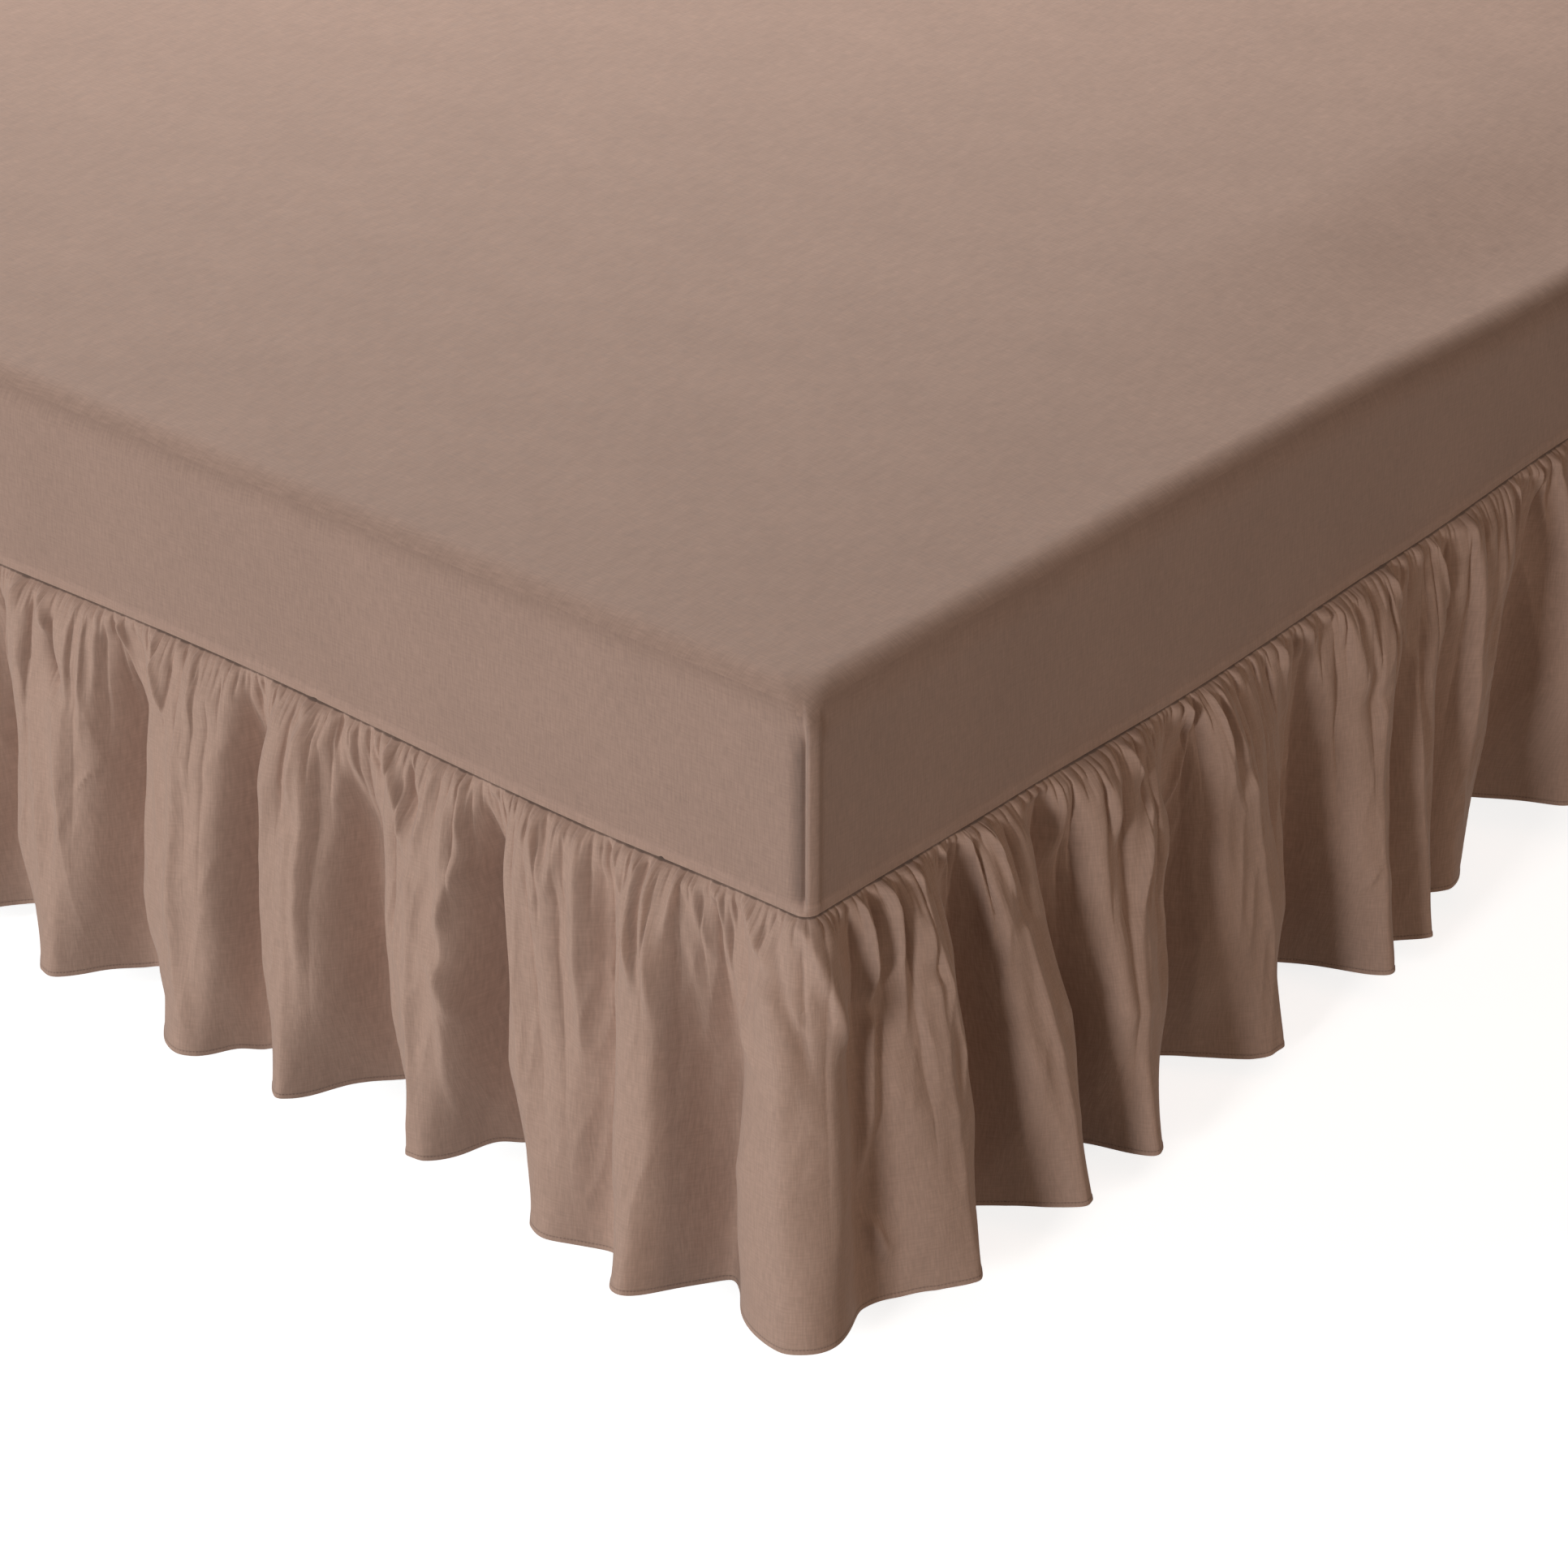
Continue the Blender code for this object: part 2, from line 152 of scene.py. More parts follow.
# Creases of the near frill: each runs from (at, top) to (foot_at, foot), where top and foot are
# lengths down, and is a ridge, or a groove where its height is below zero.
Crease = namedtuple("Crease", "at top foot_at foot height width")
CREASE_TABLE = (
    (-0.950, 0.00, -1.002, 0.39, 0.0112, 0.010),
    (-0.972, 0.00, -1.018, 0.36, -0.0187, 0.010),
    (-0.922, 0.00, -0.876, 0.09, 0.0075, 0.006),
    (-0.905, 0.01, -0.886, 0.12, -0.0287, 0.009),
    (-0.872, 0.00, -0.875, 0.13, 0.0050, 0.005),
    (-0.874, 0.10, -0.884, 0.39, 0.0075, 0.011),
    (-0.858, 0.00, -0.856, 0.15, 0.0050, 0.004),
    (-0.844, 0.00, -0.847, 0.12, 0.0050, 0.005),
    (-0.819, 0.00, -0.815, 0.12, 0.0088, 0.005),
    (-0.820, 0.00, -0.819, 0.30, -0.0260, 0.009),
    (-0.866, 0.20, -0.846, 0.16, 0.0025, 0.003),
    (-0.748, 0.00, -0.691, 0.09, 0.0075, 0.006),
    (-0.691, 0.08, -0.700, 0.36, 0.0075, 0.010),
    (-0.678, 0.00, -0.673, 0.08, 0.0050, 0.004),
    (-0.681, 0.05, -0.680, 0.24, -0.0030, 0.007),
    (-0.664, 0.02, -0.664, 0.39, 0.0085, 0.010),
    (-0.641, 0.00, -0.642, 0.36, -0.0300, 0.008),
    (-0.628, 0.02, -0.600, 0.20, 0.0063, 0.006),
    (-0.551, 0.00, -0.561, 0.12, 0.0088, 0.006),
    (-0.561, 0.11, -0.567, 0.39, 0.0075, 0.009),
    (-0.546, 0.01, -0.551, 0.34, 0.0090, 0.008),
    (-0.521, 0.00, -0.514, 0.36, -0.0200, 0.010),
    (-0.529, 0.00, -0.525, 0.07, -0.0060, 0.004),
    (-0.517, 0.00, -0.512, 0.07, 0.0063, 0.005),
    (-0.499, 0.00, -0.478, 0.05, -0.0050, 0.004),
    (-0.470, 0.00, -0.419, 0.11, 0.0088, 0.007),
    (-0.437, 0.00, -0.424, 0.08, -0.0187, 0.009),
    (-0.404, 0.00, -0.419, 0.11, 0.0075, 0.006),
    (-0.419, 0.10, -0.421, 0.39, 0.0095, 0.009),
    (-0.384, 0.02, -0.380, 0.39, 0.0080, 0.008),
    (-0.374, 0.00, -0.366, 0.08, 0.0075, 0.005),
    (-0.366, 0.07, -0.392, 0.17, 0.0075, 0.008),
    (-0.366, 0.07, -0.347, 0.17, 0.0063, 0.008),
    (-0.395, 0.17, -0.348, 0.27, 0.0100, 0.012),
    (-0.352, 0.00, -0.353, 0.36, -0.0240, 0.008),
    (-0.240, 0.00, -0.225, 0.08, 0.0063, 0.005),
    (-0.229, 0.00, -0.226, 0.06, -0.0050, 0.004),
    (-0.216, 0.00, -0.225, 0.08, 0.0063, 0.005),
    (-0.213, 0.05, -0.214, 0.18, -0.0030, 0.006),
    (-0.203, 0.00, -0.201, 0.23, 0.0075, 0.006),
    (-0.188, 0.02, -0.186, 0.16, -0.0040, 0.006),
    (-0.186, 0.00, -0.160, 0.05, -0.0050, 0.004),
    (-0.175, 0.00, -0.152, 0.06, 0.0063, 0.005),
    (-0.149, 0.00, -0.128, 0.12, 0.0088, 0.005),
    (-0.141, 0.00, -0.122, 0.12, -0.0090, 0.004),
    (-0.128, 0.00, -0.110, 0.16, 0.0075, 0.006),
    (-0.104, 0.00, -0.110, 0.07, 0.0063, 0.005),
    (-0.099, 0.05, -0.086, 0.36, -0.0187, 0.012),
    (-0.096, 0.00, -0.080, 0.08, 0.0063, 0.005),
    (-0.072, 0.00, -0.058, 0.10, 0.0088, 0.006),
    (-0.059, 0.08, -0.022, 0.16, 0.0075, 0.007),
    (-0.050, 0.00, -0.018, 0.06, 0.0075, 0.006),
    (-0.018, 0.05, -0.012, 0.39, 0.0112, 0.009),
    (-0.024, 0.00, 0.006, 0.17, -0.0050, 0.005),
    (-0.003, 0.00, 0.033, 0.17, 0.0088, 0.005),
    (0.055, 0.00, 0.055, 0.12, 0.0100, 0.005),
    (0.054, 0.10, 0.034, 0.30, 0.0132, 0.007),
    (0.073, 0.00, 0.055, 0.22, -0.0060, 0.009),
    (0.043, 0.30, 0.054, 0.36, 0.0095, 0.006),
    (0.090, 0.00, 0.083, 0.16, 0.0088, 0.006),
    (0.114, 0.00, 0.118, 0.05, -0.0040, 0.004),
    (0.128, 0.00, 0.118, 0.10, 0.0075, 0.006),
    (0.118, 0.09, 0.116, 0.39, 0.0075, 0.009),
    (0.180, 0.00, 0.206, 0.13, 0.0075, 0.005),
    (0.225, 0.00, 0.229, 0.16, 0.0075, 0.007),
    (0.270, 0.00, 0.277, 0.11, 0.0088, 0.005),
    (0.276, 0.09, 0.267, 0.39, 0.0095, 0.008),
    (0.341, 0.00, 0.330, 0.11, 0.0088, 0.006),
    (0.354, 0.00, 0.361, 0.10, 0.0075, 0.004),
    (0.372, 0.00, 0.398, 0.06, 0.0075, 0.005),
    (0.397, 0.05, 0.371, 0.17, 0.0088, 0.006),
    (0.371, 0.15, 0.371, 0.37, 0.0095, 0.009),
    (0.430, 0.00, 0.440, 0.10, -0.0187, 0.011),
    (0.503, 0.00, 0.508, 0.05, 0.0088, 0.005),
    (0.508, 0.03, 0.484, 0.13, 0.0088, 0.006),
    (0.572, 0.00, 0.576, 0.08, 0.0063, 0.004),
    (0.588, 0.00, 0.602, 0.11, 0.0088, 0.006),
    (0.602, 0.09, 0.606, 0.39, 0.0095, 0.009),
    (0.680, 0.00, 0.688, 0.11, 0.0088, 0.006),
    (0.687, 0.09, 0.664, 0.20, 0.0075, 0.007),
    (0.717, 0.00, 0.730, 0.13, 0.0063, 0.005),
    (0.734, 0.00, 0.749, 0.12, 0.0075, 0.005),
    (0.747, 0.00, 0.760, 0.13, 0.0075, 0.005),
    (0.760, 0.11, 0.758, 0.39, 0.0095, 0.008),
    (0.740, 0.31, 0.756, 0.27, 0.0037, 0.004),
    (0.782, 0.00, 0.832, 0.11, 0.0075, 0.006),
    (0.832, 0.09, 0.846, 0.39, 0.0095, 0.008),
    (0.868, 0.00, 0.904, 0.11, 0.0075, 0.005),
    (0.911, 0.00, 0.932, 0.30, 0.0112, 0.007),
    (1.010, 0.00, 1.030, 0.13, 0.0063, 0.006),
    (1.070, 0.00, 1.098, 0.10, 0.0075, 0.006),
    (1.100, 0.00, 1.126, 0.39, 0.0095, 0.008),
)
CREASES = [Crease(*row) for row in CREASE_TABLE]

SIDE_LENGTHS = np.array([BED_LENGTH, BED_WIDTH, BED_LENGTH, BED_WIDTH])
CORNERS = np.concatenate([[0.0], np.cumsum(SIDE_LENGTHS)])
SEAM_LOOP = CORNERS[-1]
ALONG = np.array([(1, 0), (0, 1), (-1, 0), (0, -1)], float)
OUTWARD = np.array([(0, -1), (1, 0), (0, 1), (-1, 0)], float)
STARTS = np.array([(-1, -1), (1, -1), (1, 1), (-1, 1)]) * (BED_LENGTH / 2, BED_WIDTH / 2)


def smooth(share):
    """0 to 1 with level ends."""
    share = np.clip(share, 0.0, 1.0)
    return share * share * (3 - 2 * share)


def level_at(levels, distance):
    """The rise at each distance, eased between the rows of a table."""
    at = np.array([level.at for level in levels])
    rise = np.array([level.rise for level in levels])
    row = np.clip(np.searchsorted(at, distance) - 1, 0, len(levels) - 2)
    share = smooth((distance - at[row]) / (at[row + 1] - at[row]))
    return rise[row] + (rise[row + 1] - rise[row]) * share


def side_at(travel):
    """The side that each distance round the seam falls on, and the distance along it."""
    travel = np.mod(travel, SEAM_LOOP)
    index = np.clip(np.searchsorted(CORNERS, travel, side="right") - 1, 0, 3)
    return index, travel - CORNERS[index]


def seam_rise(travel):
    """How far the seam stands above SEAM_HEIGHT."""
    index, distance = side_at(travel)
    length = SIDE_LENGTHS[index]
    ends = smooth(distance / SEAM_WAVE_ENDS) * smooth((length - distance) / SEAM_WAVE_ENDS)
    wave = SEAM_WAVE * ends * np.sin(SEAM_WAVE_PACE * distance + SEAM_WAVE_SHIFT * index)
    return np.where(index == 0, level_at(LONG_SEAM, distance), wave)


def top_edge_rise(travel):
    """How far the cover's top edge stands above its usual height."""
    index, distance = side_at(travel)
    sag = -SEAM_WAVE * np.sin(math.pi * distance / SIDE_LENGTHS[index]) ** 2
    return np.where(index == 0, level_at(LONG_TOP_EDGE, distance), sag)


def seam_plan(travel, out, reach):
    """Points of the plan, out from the seam line, whose corners have the band's radius."""
    index, distance = side_at(travel)
    length = SIDE_LENGTHS[index]
    point = STARTS[index] + ALONG[index] * distance[..., None]
    turn = np.zeros_like(distance)
    for from_corner, way in ((distance, -1.0), (length - distance, 1.0)):
        angle = np.clip(1 - from_corner / BAND_CORNER, 0, 1) * math.pi / 4
        short = np.clip(BAND_CORNER - from_corner, 0, None)
        forward = way * (BAND_CORNER * np.sin(angle) - short)
        inward = BAND_CORNER * (1 - np.cos(angle))
        point = point + ALONG[index] * forward[..., None] - OUTWARD[index] * inward[..., None]
        share = np.clip(from_corner / reach, 0, 1)
        turn = turn + way * (1 - share * (1.5 - 0.5 * share * share)) * math.pi / 4
    direction = OUTWARD[index] * np.cos(turn)[..., None] + ALONG[index] * np.sin(turn)[..., None]
    return point + direction * np.asarray(out)[..., None]


def wave_at(wave, i):
    return wave.middle + wave.swing * math.sin(wave.pace * i + wave.start)


def far_folds(start, end):
    """Crests and dips that fill the hidden hem from start to end, as the solids have them."""
    count = 2 * round((end - start) / (2 * FAR_HALF_FOLD))
    steps = [wave_at(FAR_STEP, i) + wave_at(FAR_STEP_MORE, i) for i in range(count)]
    scale = (end - start) / sum(steps)
    folds = []
    travel = start
    for i, step in enumerate(steps[:-1]):
        travel += step * scale
        if i % 2 == 0:
            out, tuck = wave_at(FAR_CREST_OUT, i), wave_at(FAR_CREST_TUCK, i)
        else:
            out, tuck = wave_at(FAR_DIP_OUT, i), wave_at(FAR_DIP_TUCK, i)
        folds.append(Fold(travel, out, wave_at(FAR_LEAN, i), tuck))
    return folds


def round_far_corners(folds):
    """The crest nearest each hidden corner becomes a broad fold that goes round it."""
    for corner, shape in zip(CORNERS[1:4], OTHER_CORNER_FOLDS):
        nearest = min(folds[::2], key=lambda fold: abs(fold.at - corner))
        broad = [Fold(corner + way * shape.half, shape.out, 0.0, 0.0) for way in (-1, 1)]
        room = 2 * shape.half
        kept = [fold for fold in folds if fold is nearest or abs(fold.at - corner) > room]
        place = kept.index(nearest)
        folds = kept[:place] + broad + kept[place + 1 :]
    return folds


def fold_loop():
    """All crests and dips once round the hem, from the near corner back to it."""
    near = list(LONG_SIDE_FOLDS)
    end = [f._replace(at=SEAM_LOOP - f.at, lean=-f.lean) for f in reversed(END_FOLDS)]
    far = round_far_corners(far_folds(near[-1].at, end[0].at))
    last = CORNER_FOLD._replace(at=SEAM_LOOP + CORNER_FOLD.at)
    return np.array([CORNER_FOLD] + near + far + end + [last])


FOLD_LOOP = fold_loop()

# Crests are broader than the dips down to the share BROAD_ABOVE of the drop, and as in the solids
# at the hem. Those at the places of BROADER_CRESTS are broader still, by the number given there.
CREST_BREADTH = 2.4
BROAD_ABOVE = 0.60
BROAD_UNTIL = 1.0
BROADER_REACH = 0.045
BROADER_CRESTS = {
    -0.892: 2.2,
    -0.688: 6.0,
    -0.568: 1.6,
    -0.408: 6.0,
    0.275: 1.2,
    0.378: 1.2,
    0.592: 1.2,
}


def fold_values(at):
    """out at the hem, out with the crests broader, lean and tuck at each place."""
    at = np.where(at < FOLD_LOOP[0, 0], at + SEAM_LOOP, at)
    row = np.clip(np.searchsorted(FOLD_LOOP[:, 0], at, side="right") - 1, 0, len(FOLD_LOOP) - 2)
    before, after = FOLD_LOOP[row], FOLD_LOOP[row + 1]
    share = (at - before[:, 0]) / (after[:, 0] - before[:, 0])
    eased = (1 - np.cos(math.pi * share)) / 2
    values = before + (after - before) * eased[:, None]
    falling = before[:, 1] > after[:, 1]
    breadth = np.full(len(at), CREST_BREADTH)
    for crest, more in BROADER_CRESTS.items():
        away = np.mod(at - crest + SEAM_LOOP / 2, SEAM_LOOP) - SEAM_LOOP / 2
        breadth += more * np.exp(-((away / BROADER_REACH) ** 2))
    wide = np.where(falling, eased**breadth, 1 - (1 - eased) ** breadth)
    broad = before[:, 1] + (after[:, 1] - before[:, 1]) * wide
    tuck = before[:, 3] + (after[:, 3] - before[:, 3]) * wide
    return values[:, 1], broad, values[:, 2], tuck


# Flutes of the gathering: rounded ridges with sharp valleys between them, spaced along the seam.
# Each kind reaches its height within rise of the seam and has gone at about foot below it.
FLUTE_SEED = 11
Flute = namedtuple("Flute", "pitch spread height rise foot roundness")
FLUTES = (
    Flute(pitch=0.0088, spread=0.50, height=0.0042, rise=0.004, foot=0.036, roundness=0.42),
    Flute(pitch=0.0220, spread=0.55, height=0.0075, rise=0.030, foot=0.140, roundness=0.48),
    Flute(pitch=0.0620, spread=0.50, height=0.0105, rise=0.085, foot=0.330, roundness=0.78),
)
FLUTE_AT_SEAM = 0.05
FLUTE_DRIFT = 0.16
FLUTE_OFFSET = 4.4
FLUTE_STRENGTH = (0.45, 1.25)
FLUTE_SKEW = (0.62, 1.6)
FLUTE_FOOT = (0.5, 1.35)
FLUTE_WAVES = 9
FLUTE_FADE = 0.75
WIDEST_FLUTE = 1.4

# Crumples: uneven low creases all over the frill, ridged where the cloth has kept a crease.
CRUMPLE_SEED = 5
Crumple = namedtuple("Crumple", "across down height slant ridged")
CRUMPLES = (
    Crumple(across=0.062, down=0.240, height=0.0038, slant=0.08, ridged=False),
    Crumple(across=0.034, down=0.150, height=0.0072, slant=-0.12, ridged=True),
    Crumple(across=0.018, down=0.070, height=0.0030, slant=0.18, ridged=True),
)
CRUMPLE_START = 0.020
CRUMPLE_FULL = 0.090
CRUMPLE_AT_HEM = 0.55
CRUMPLE_FADE = 0.4
CRUMPLE_WAVES = 11
CRUMPLE_WANDER = 0.3
RIDGE_LEVEL = 0.33

# The cloth starts just outside the seam line and stands out from it a little further down.
START_AHEAD = 0.0002
STAND_OUT = 0.0018
STAND_WITHIN = 0.005

# Creases are sewn nearly flat at the seam. Those deeper than VALLEY_HEIGHT open downward as cones,
# and those that end below HEM_CREASE go on to the hem.
CREASE_RISE = 0.022
CREASE_AT_SEAM = 0.04
GATHER_RISE = 0.010
VALLEY_HEIGHT = -0.010
VALLEY_RISE = 0.12
VALLEY_TOP_WIDTH = 0.30
VALLEY_RISE_SHARE = 0.6
CREASE_FADE = 0.5
HEM_CREASE = 0.362
HEM_CREASE_FADE = 0.6
CREASE_SHARPNESS = 1.3
CREASE_REACH = 5


def flute_relief(seam_at, lengths):
    """How far the flutes push the cloth out, by place along the seam and length down."""
    chance = random.Random(FLUTE_SEED)
    relief = np.zeros((len(seam_at), len(lengths)))
    for flute in FLUTES:
        steps = []
        for _ in range(round(SEAM_LOOP / flute.pitch)):
            steps.append(1 + flute.spread * chance.uniform(-1, 1))
        valleys = np.concatenate([[0.0], np.cumsum(steps)])
        valleys *= SEAM_LOOP / valleys[-1]
        count = len(steps)
        strength = np.array([chance.uniform(*FLUTE_STRENGTH) for _ in range(count)])
        skew = np.array([chance.uniform(*FLUTE_SKEW) for _ in range(count)])
        foot = np.array([flute.foot * chance.uniform(*FLUTE_FOOT) for _ in range(count)])
        wave = np.sin(2 * math.pi * FLUTE_WAVES * seam_at / SEAM_LOOP)[:, None]
        drift = FLUTE_DRIFT * flute.pitch * wave * (lengths / flute.foot)[None, :]
        place = np.mod(seam_at[:, None] + drift + FLUTE_OFFSET * flute.pitch, SEAM_LOOP)
        cell = np.clip(np.searchsorted(valleys, place, side="right") - 1, 0, count - 1)
        width = valleys[cell + 1] - valleys[cell]
        share = np.clip((place - valleys[cell]) / width, 0, 1) ** skew[cell]
        ridge = np.clip(4 * share * (1 - share), 0, None) ** flute.roundness
        rise = FLUTE_AT_SEAM + (1 - FLUTE_AT_SEAM) * smooth(lengths / flute.rise)
        fade = FLUTE_FADE * foot[cell]
        fall = 1 - smooth((lengths[None, :] - foot[cell] + fade) / fade)
        height = flute.height * strength[cell] * np.minimum(width / flute.pitch, WIDEST_FLUTE)
        relief += height * ridge * rise[None, :] * fall
    return relief


def crumple_relief(at, lengths):
    """How far the crumples push the cloth out, by place along the hem and length down."""
    chance = np.random.default_rng(CRUMPLE_SEED)
    relief = np.zeros((len(at), len(lengths)))
    for crumple in CRUMPLES:
        cells = round(SEAM_LOOP / crumple.across)
        rows = int(FRILL_CLOTH / crumple.down) + 4
        nodes = chance.uniform(-1, 1, (cells, rows))
        wave = np.sin(2 * math.pi * CRUMPLE_WAVES * at / SEAM_LOOP)[:, None]
        across = (at[:, None] + crumple.slant * lengths[None, :]) / SEAM_LOOP * cells
        down = np.broadcast_to(lengths / crumple.down, across.shape) + 1 + CRUMPLE_WANDER * wave
        column, row = np.floor(across).astype(int), np.floor(down).astype(int)
        x, y = smooth(across - column), smooth(down - row)
        left, right = column % cells, (column + 1) % cells
        upper = nodes[left, row] + (nodes[right, row] - nodes[left, row]) * x
        lower = nodes[left, row + 1] + (nodes[right, row + 1] - nodes[left, row + 1]) * x
        value = upper + (lower - upper) * y
        relief += crumple.height * (RIDGE_LEVEL - np.abs(value) if crumple.ridged else value)
    start = smooth((lengths - CRUMPLE_START) / (CRUMPLE_FULL - CRUMPLE_START))
    fading = smooth((lengths / FRILL_CLOTH - 1 + CRUMPLE_FADE) / CRUMPLE_FADE)
    end = 1 - (1 - CRUMPLE_AT_HEM) * fading
    return relief * (start * end)[None, :]


def crease_relief(at, lengths, creases):
    """How far the creases push each point of the cloth out, by place and length down."""
    relief = np.zeros((len(at), len(lengths)))
    for crease in creases:
        margin = CREASE_REACH * crease.width
        low = min(crease.at, crease.foot_at) - margin
        high = max(crease.at, crease.foot_at) + margin
        first, last = np.searchsorted(at, (low, high))
        if first == last:
            continue
        top, foot = sorted((crease.top, crease.foot))
        span = foot - top
        run = np.clip((lengths - crease.top) / (crease.foot - crease.top), 0, 1)
        centre = crease.at + (crease.foot_at - crease.at) * run
        width = crease.width
        if crease.height < VALLEY_HEIGHT:
            start = smooth((lengths - top) / min(VALLEY_RISE, VALLEY_RISE_SHARE * span))
            width = crease.width * (VALLEY_TOP_WIDTH + (1 - VALLEY_TOP_WIDTH) * start)
        elif top > 0:
            start = smooth((lengths - top) / min(CREASE_RISE, span / 3))
        else:
            start = CREASE_AT_SEAM + (1 - CREASE_AT_SEAM) * smooth(lengths / GATHER_RISE)
        fade = CREASE_FADE * span
        fall = 1 - smooth((lengths - foot + fade) / fade)
        if foot > HEM_CREASE:
            fall = 1 - HEM_CREASE_FADE * smooth(lengths / FRILL_CLOTH)
        across = (at[first:last, None] - centre) / width
        profile = (1 + across * across) ** -CREASE_SHARPNESS
        relief[first:last] += crease.height * start * fall * profile
    return relief


def frill_points(at, lengths, creases):
    """The cloth's points, as an array by place and length, from the seam to the hem."""
    out, broad, lean, tuck = (value[:, None] for value in fold_values(at))
    share = np.clip(lengths / FRILL_CLOTH, 0, 1)[None, :]
    out = broad + (out - broad) * smooth((share - BROAD_ABOVE) / (BROAD_UNTIL - BROAD_ABOVE))
    depth = lengths[None, :] / TUCK_DEPTH
    stand = START_AHEAD + STAND_OUT * (1 - np.exp(-lengths[None, :] / STAND_WITHIN))
    growth = np.where(out > 0, CREST_GROWTH, DIP_GROWTH)
    plain = stand * (1 - share) + out * share**growth - tuck * depth * np.exp(1 - depth)
    seam_at = (at[:, None] + lean)[:, 0]
    relief = crease_relief(at, lengths, creases) + flute_relief(seam_at, lengths)
    relief += crumple_relief(at, lengths)
    run = np.diff(lengths, prepend=lengths[0])[None, :]
    step = np.diff(plain, axis=1, prepend=plain[:, :1])
    travel = at[:, None] + lean * (1 - share) ** LEAN_CURVE
    top = SEAM_HEIGHT + seam_rise(seam_at)[:, None]
    height = top - np.cumsum(np.sqrt(np.clip(run**2 - step**2, 0, None)), axis=1)
    reach = BAND_CORNER + (FAN_AT_HEM - BAND_CORNER) * np.clip(3 * share, 0, 1)
    plan = seam_plan(travel, plain + relief, np.broadcast_to(reach, travel.shape))
    return np.concatenate([plan, height[..., None]], axis=2)


def grid_normals(points):
    """Unit normals of a grid of points, facing away from the bed."""
    across = np.gradient(points, axis=0)
    down = np.gradient(points, axis=1)
    normal = np.cross(down, across)
    return normal / np.maximum(np.linalg.norm(normal, axis=2, keepdims=True), 1e-12)


def frill_faces(columns, rows, fine_rows):
    """Faces of a grid as a flat list of corners and the sides of each face.

    Rows below fine_rows have every other column only, and five-sided faces join the two."""
    kept = np.ones((columns, rows), bool)
    kept[1::2, fine_rows:] = False
    number = np.cumsum(kept.ravel()).reshape(columns, rows) - 1
    fine = number[:, :fine_rows]
    coarse = number[::2, fine_rows:]
    last, below = number[:, fine_rows - 1], coarse[:, 0]
    small = np.stack([fine[:-1, :-1], fine[:-1, 1:], fine[1:, 1:], fine[1:, :-1]], axis=2)
    large = np.stack([coarse[:-1, :-1], coarse[:-1, 1:], coarse[1:, 1:], coarse[1:, :-1]], axis=2)
    joining = np.stack([last[:-2:2], below[:-1], below[1:], last[2::2], last[1::2]], axis=1)
    corners = np.concatenate([small.ravel(), large.ravel(), joining.ravel()])
    sides = np.concatenate([np.full((small.size + large.size) // 4, 4), np.full(len(joining), 5)])
    return kept, corners, sides


def grid_mesh(name, points, normals, coordinates, fine_rows, material):
    """A smooth sheet from a grid of points, with its own normals and UV in metres."""
    kept, corners, sides = frill_faces(*points.shape[:2], fine_rows)
    mesh = bpy.data.meshes.new(name)
    mesh.vertices.add(int(kept.sum()))
    mesh.vertices.foreach_set("co", points[kept].ravel())
    mesh.loops.add(len(corners))
    mesh.loops.foreach_set("vertex_index", corners)
    mesh.polygons.add(len(sides))
    mesh.polygons.foreach_set("loop_start", np.cumsum(sides) - sides)
    mesh.update(calc_edges=True)
    layer = mesh.uv_layers.new(name="cloth")
    layer.data.foreach_set("uv", coordinates[kept][corners].ravel())
    mesh.shade_smooth()
    mesh.normals_split_custom_set_from_vertices(normals[kept])
    mesh.materials.append(material)
    obj = bpy.data.objects.new(name, mesh)
    bpy.context.scene.collection.objects.link(obj)
    return obj


# Hem, sewn-in edge and the spacing of the grid
HEM_DEPTH = 0.0045
HEM_STEP = 0.0012
HEM_BULGE = 0.0005
HEM_BACK = 0.0011
HEM_EDGE_DROP = 0.0004
HEM_ROWS = (-0.0015, 0.0, HEM_STEP, HEM_DEPTH - 0.0006, HEM_DEPTH)
TURNED_ROWS = (0.0006, 0.0012, 0.0055)
SEWN_IN = 0.0045
SEWN_IN_BEHIND = 0.0016
PAD_COLUMNS = 3
GATHER_ZONE = 0.078
ROOM_ABOVE_HEM = 0.004
PLACE_STEP = 0.0005
HEM_WEIGHT = 0.45


def hem_rows(points, normals, lengths):
    """The frill with its sewn-in edge above, and its turned hem: bulge, lower edge and turning."""
    near_hem = smooth((lengths - (FRILL_CLOTH - HEM_DEPTH)) / HEM_STEP)[None, :, None]
    front = points + normals * near_hem * HEM_BULGE
    edge_normal = normals[:, -1:]
    edge = front[:, -1:] - edge_normal * (HEM_BULGE + HEM_BACK) / 2 - (0, 0, HEM_EDGE_DROP)
    behind = [front[:, -1:] - edge_normal * (HEM_BULGE + HEM_BACK)]
    turned = np.searchsorted(lengths, FRILL_CLOTH - HEM_DEPTH)
    behind.append(points[:, turned : turned + 1] - normals[:, turned : turned + 1] * HEM_BACK)
    down = -np.broadcast_to(np.array((0.0, 0.0, 1.0)), edge.shape)
    inside = front[:, :1] - normals[:, :1] * SEWN_IN_BEHIND + (0, 0, SEWN_IN)
    rows = np.concatenate([inside, front, edge, *behind], axis=1)
    turned_normals = (down, -edge_normal, -edge_normal)
    row_normals = np.concatenate([normals[:, :1], normals, *turned_normals], axis=1)
    row_lengths = np.concatenate([[-SEWN_IN], lengths, FRILL_CLOTH + np.array(TURNED_ROWS)])
    return rows, row_normals, row_lengths


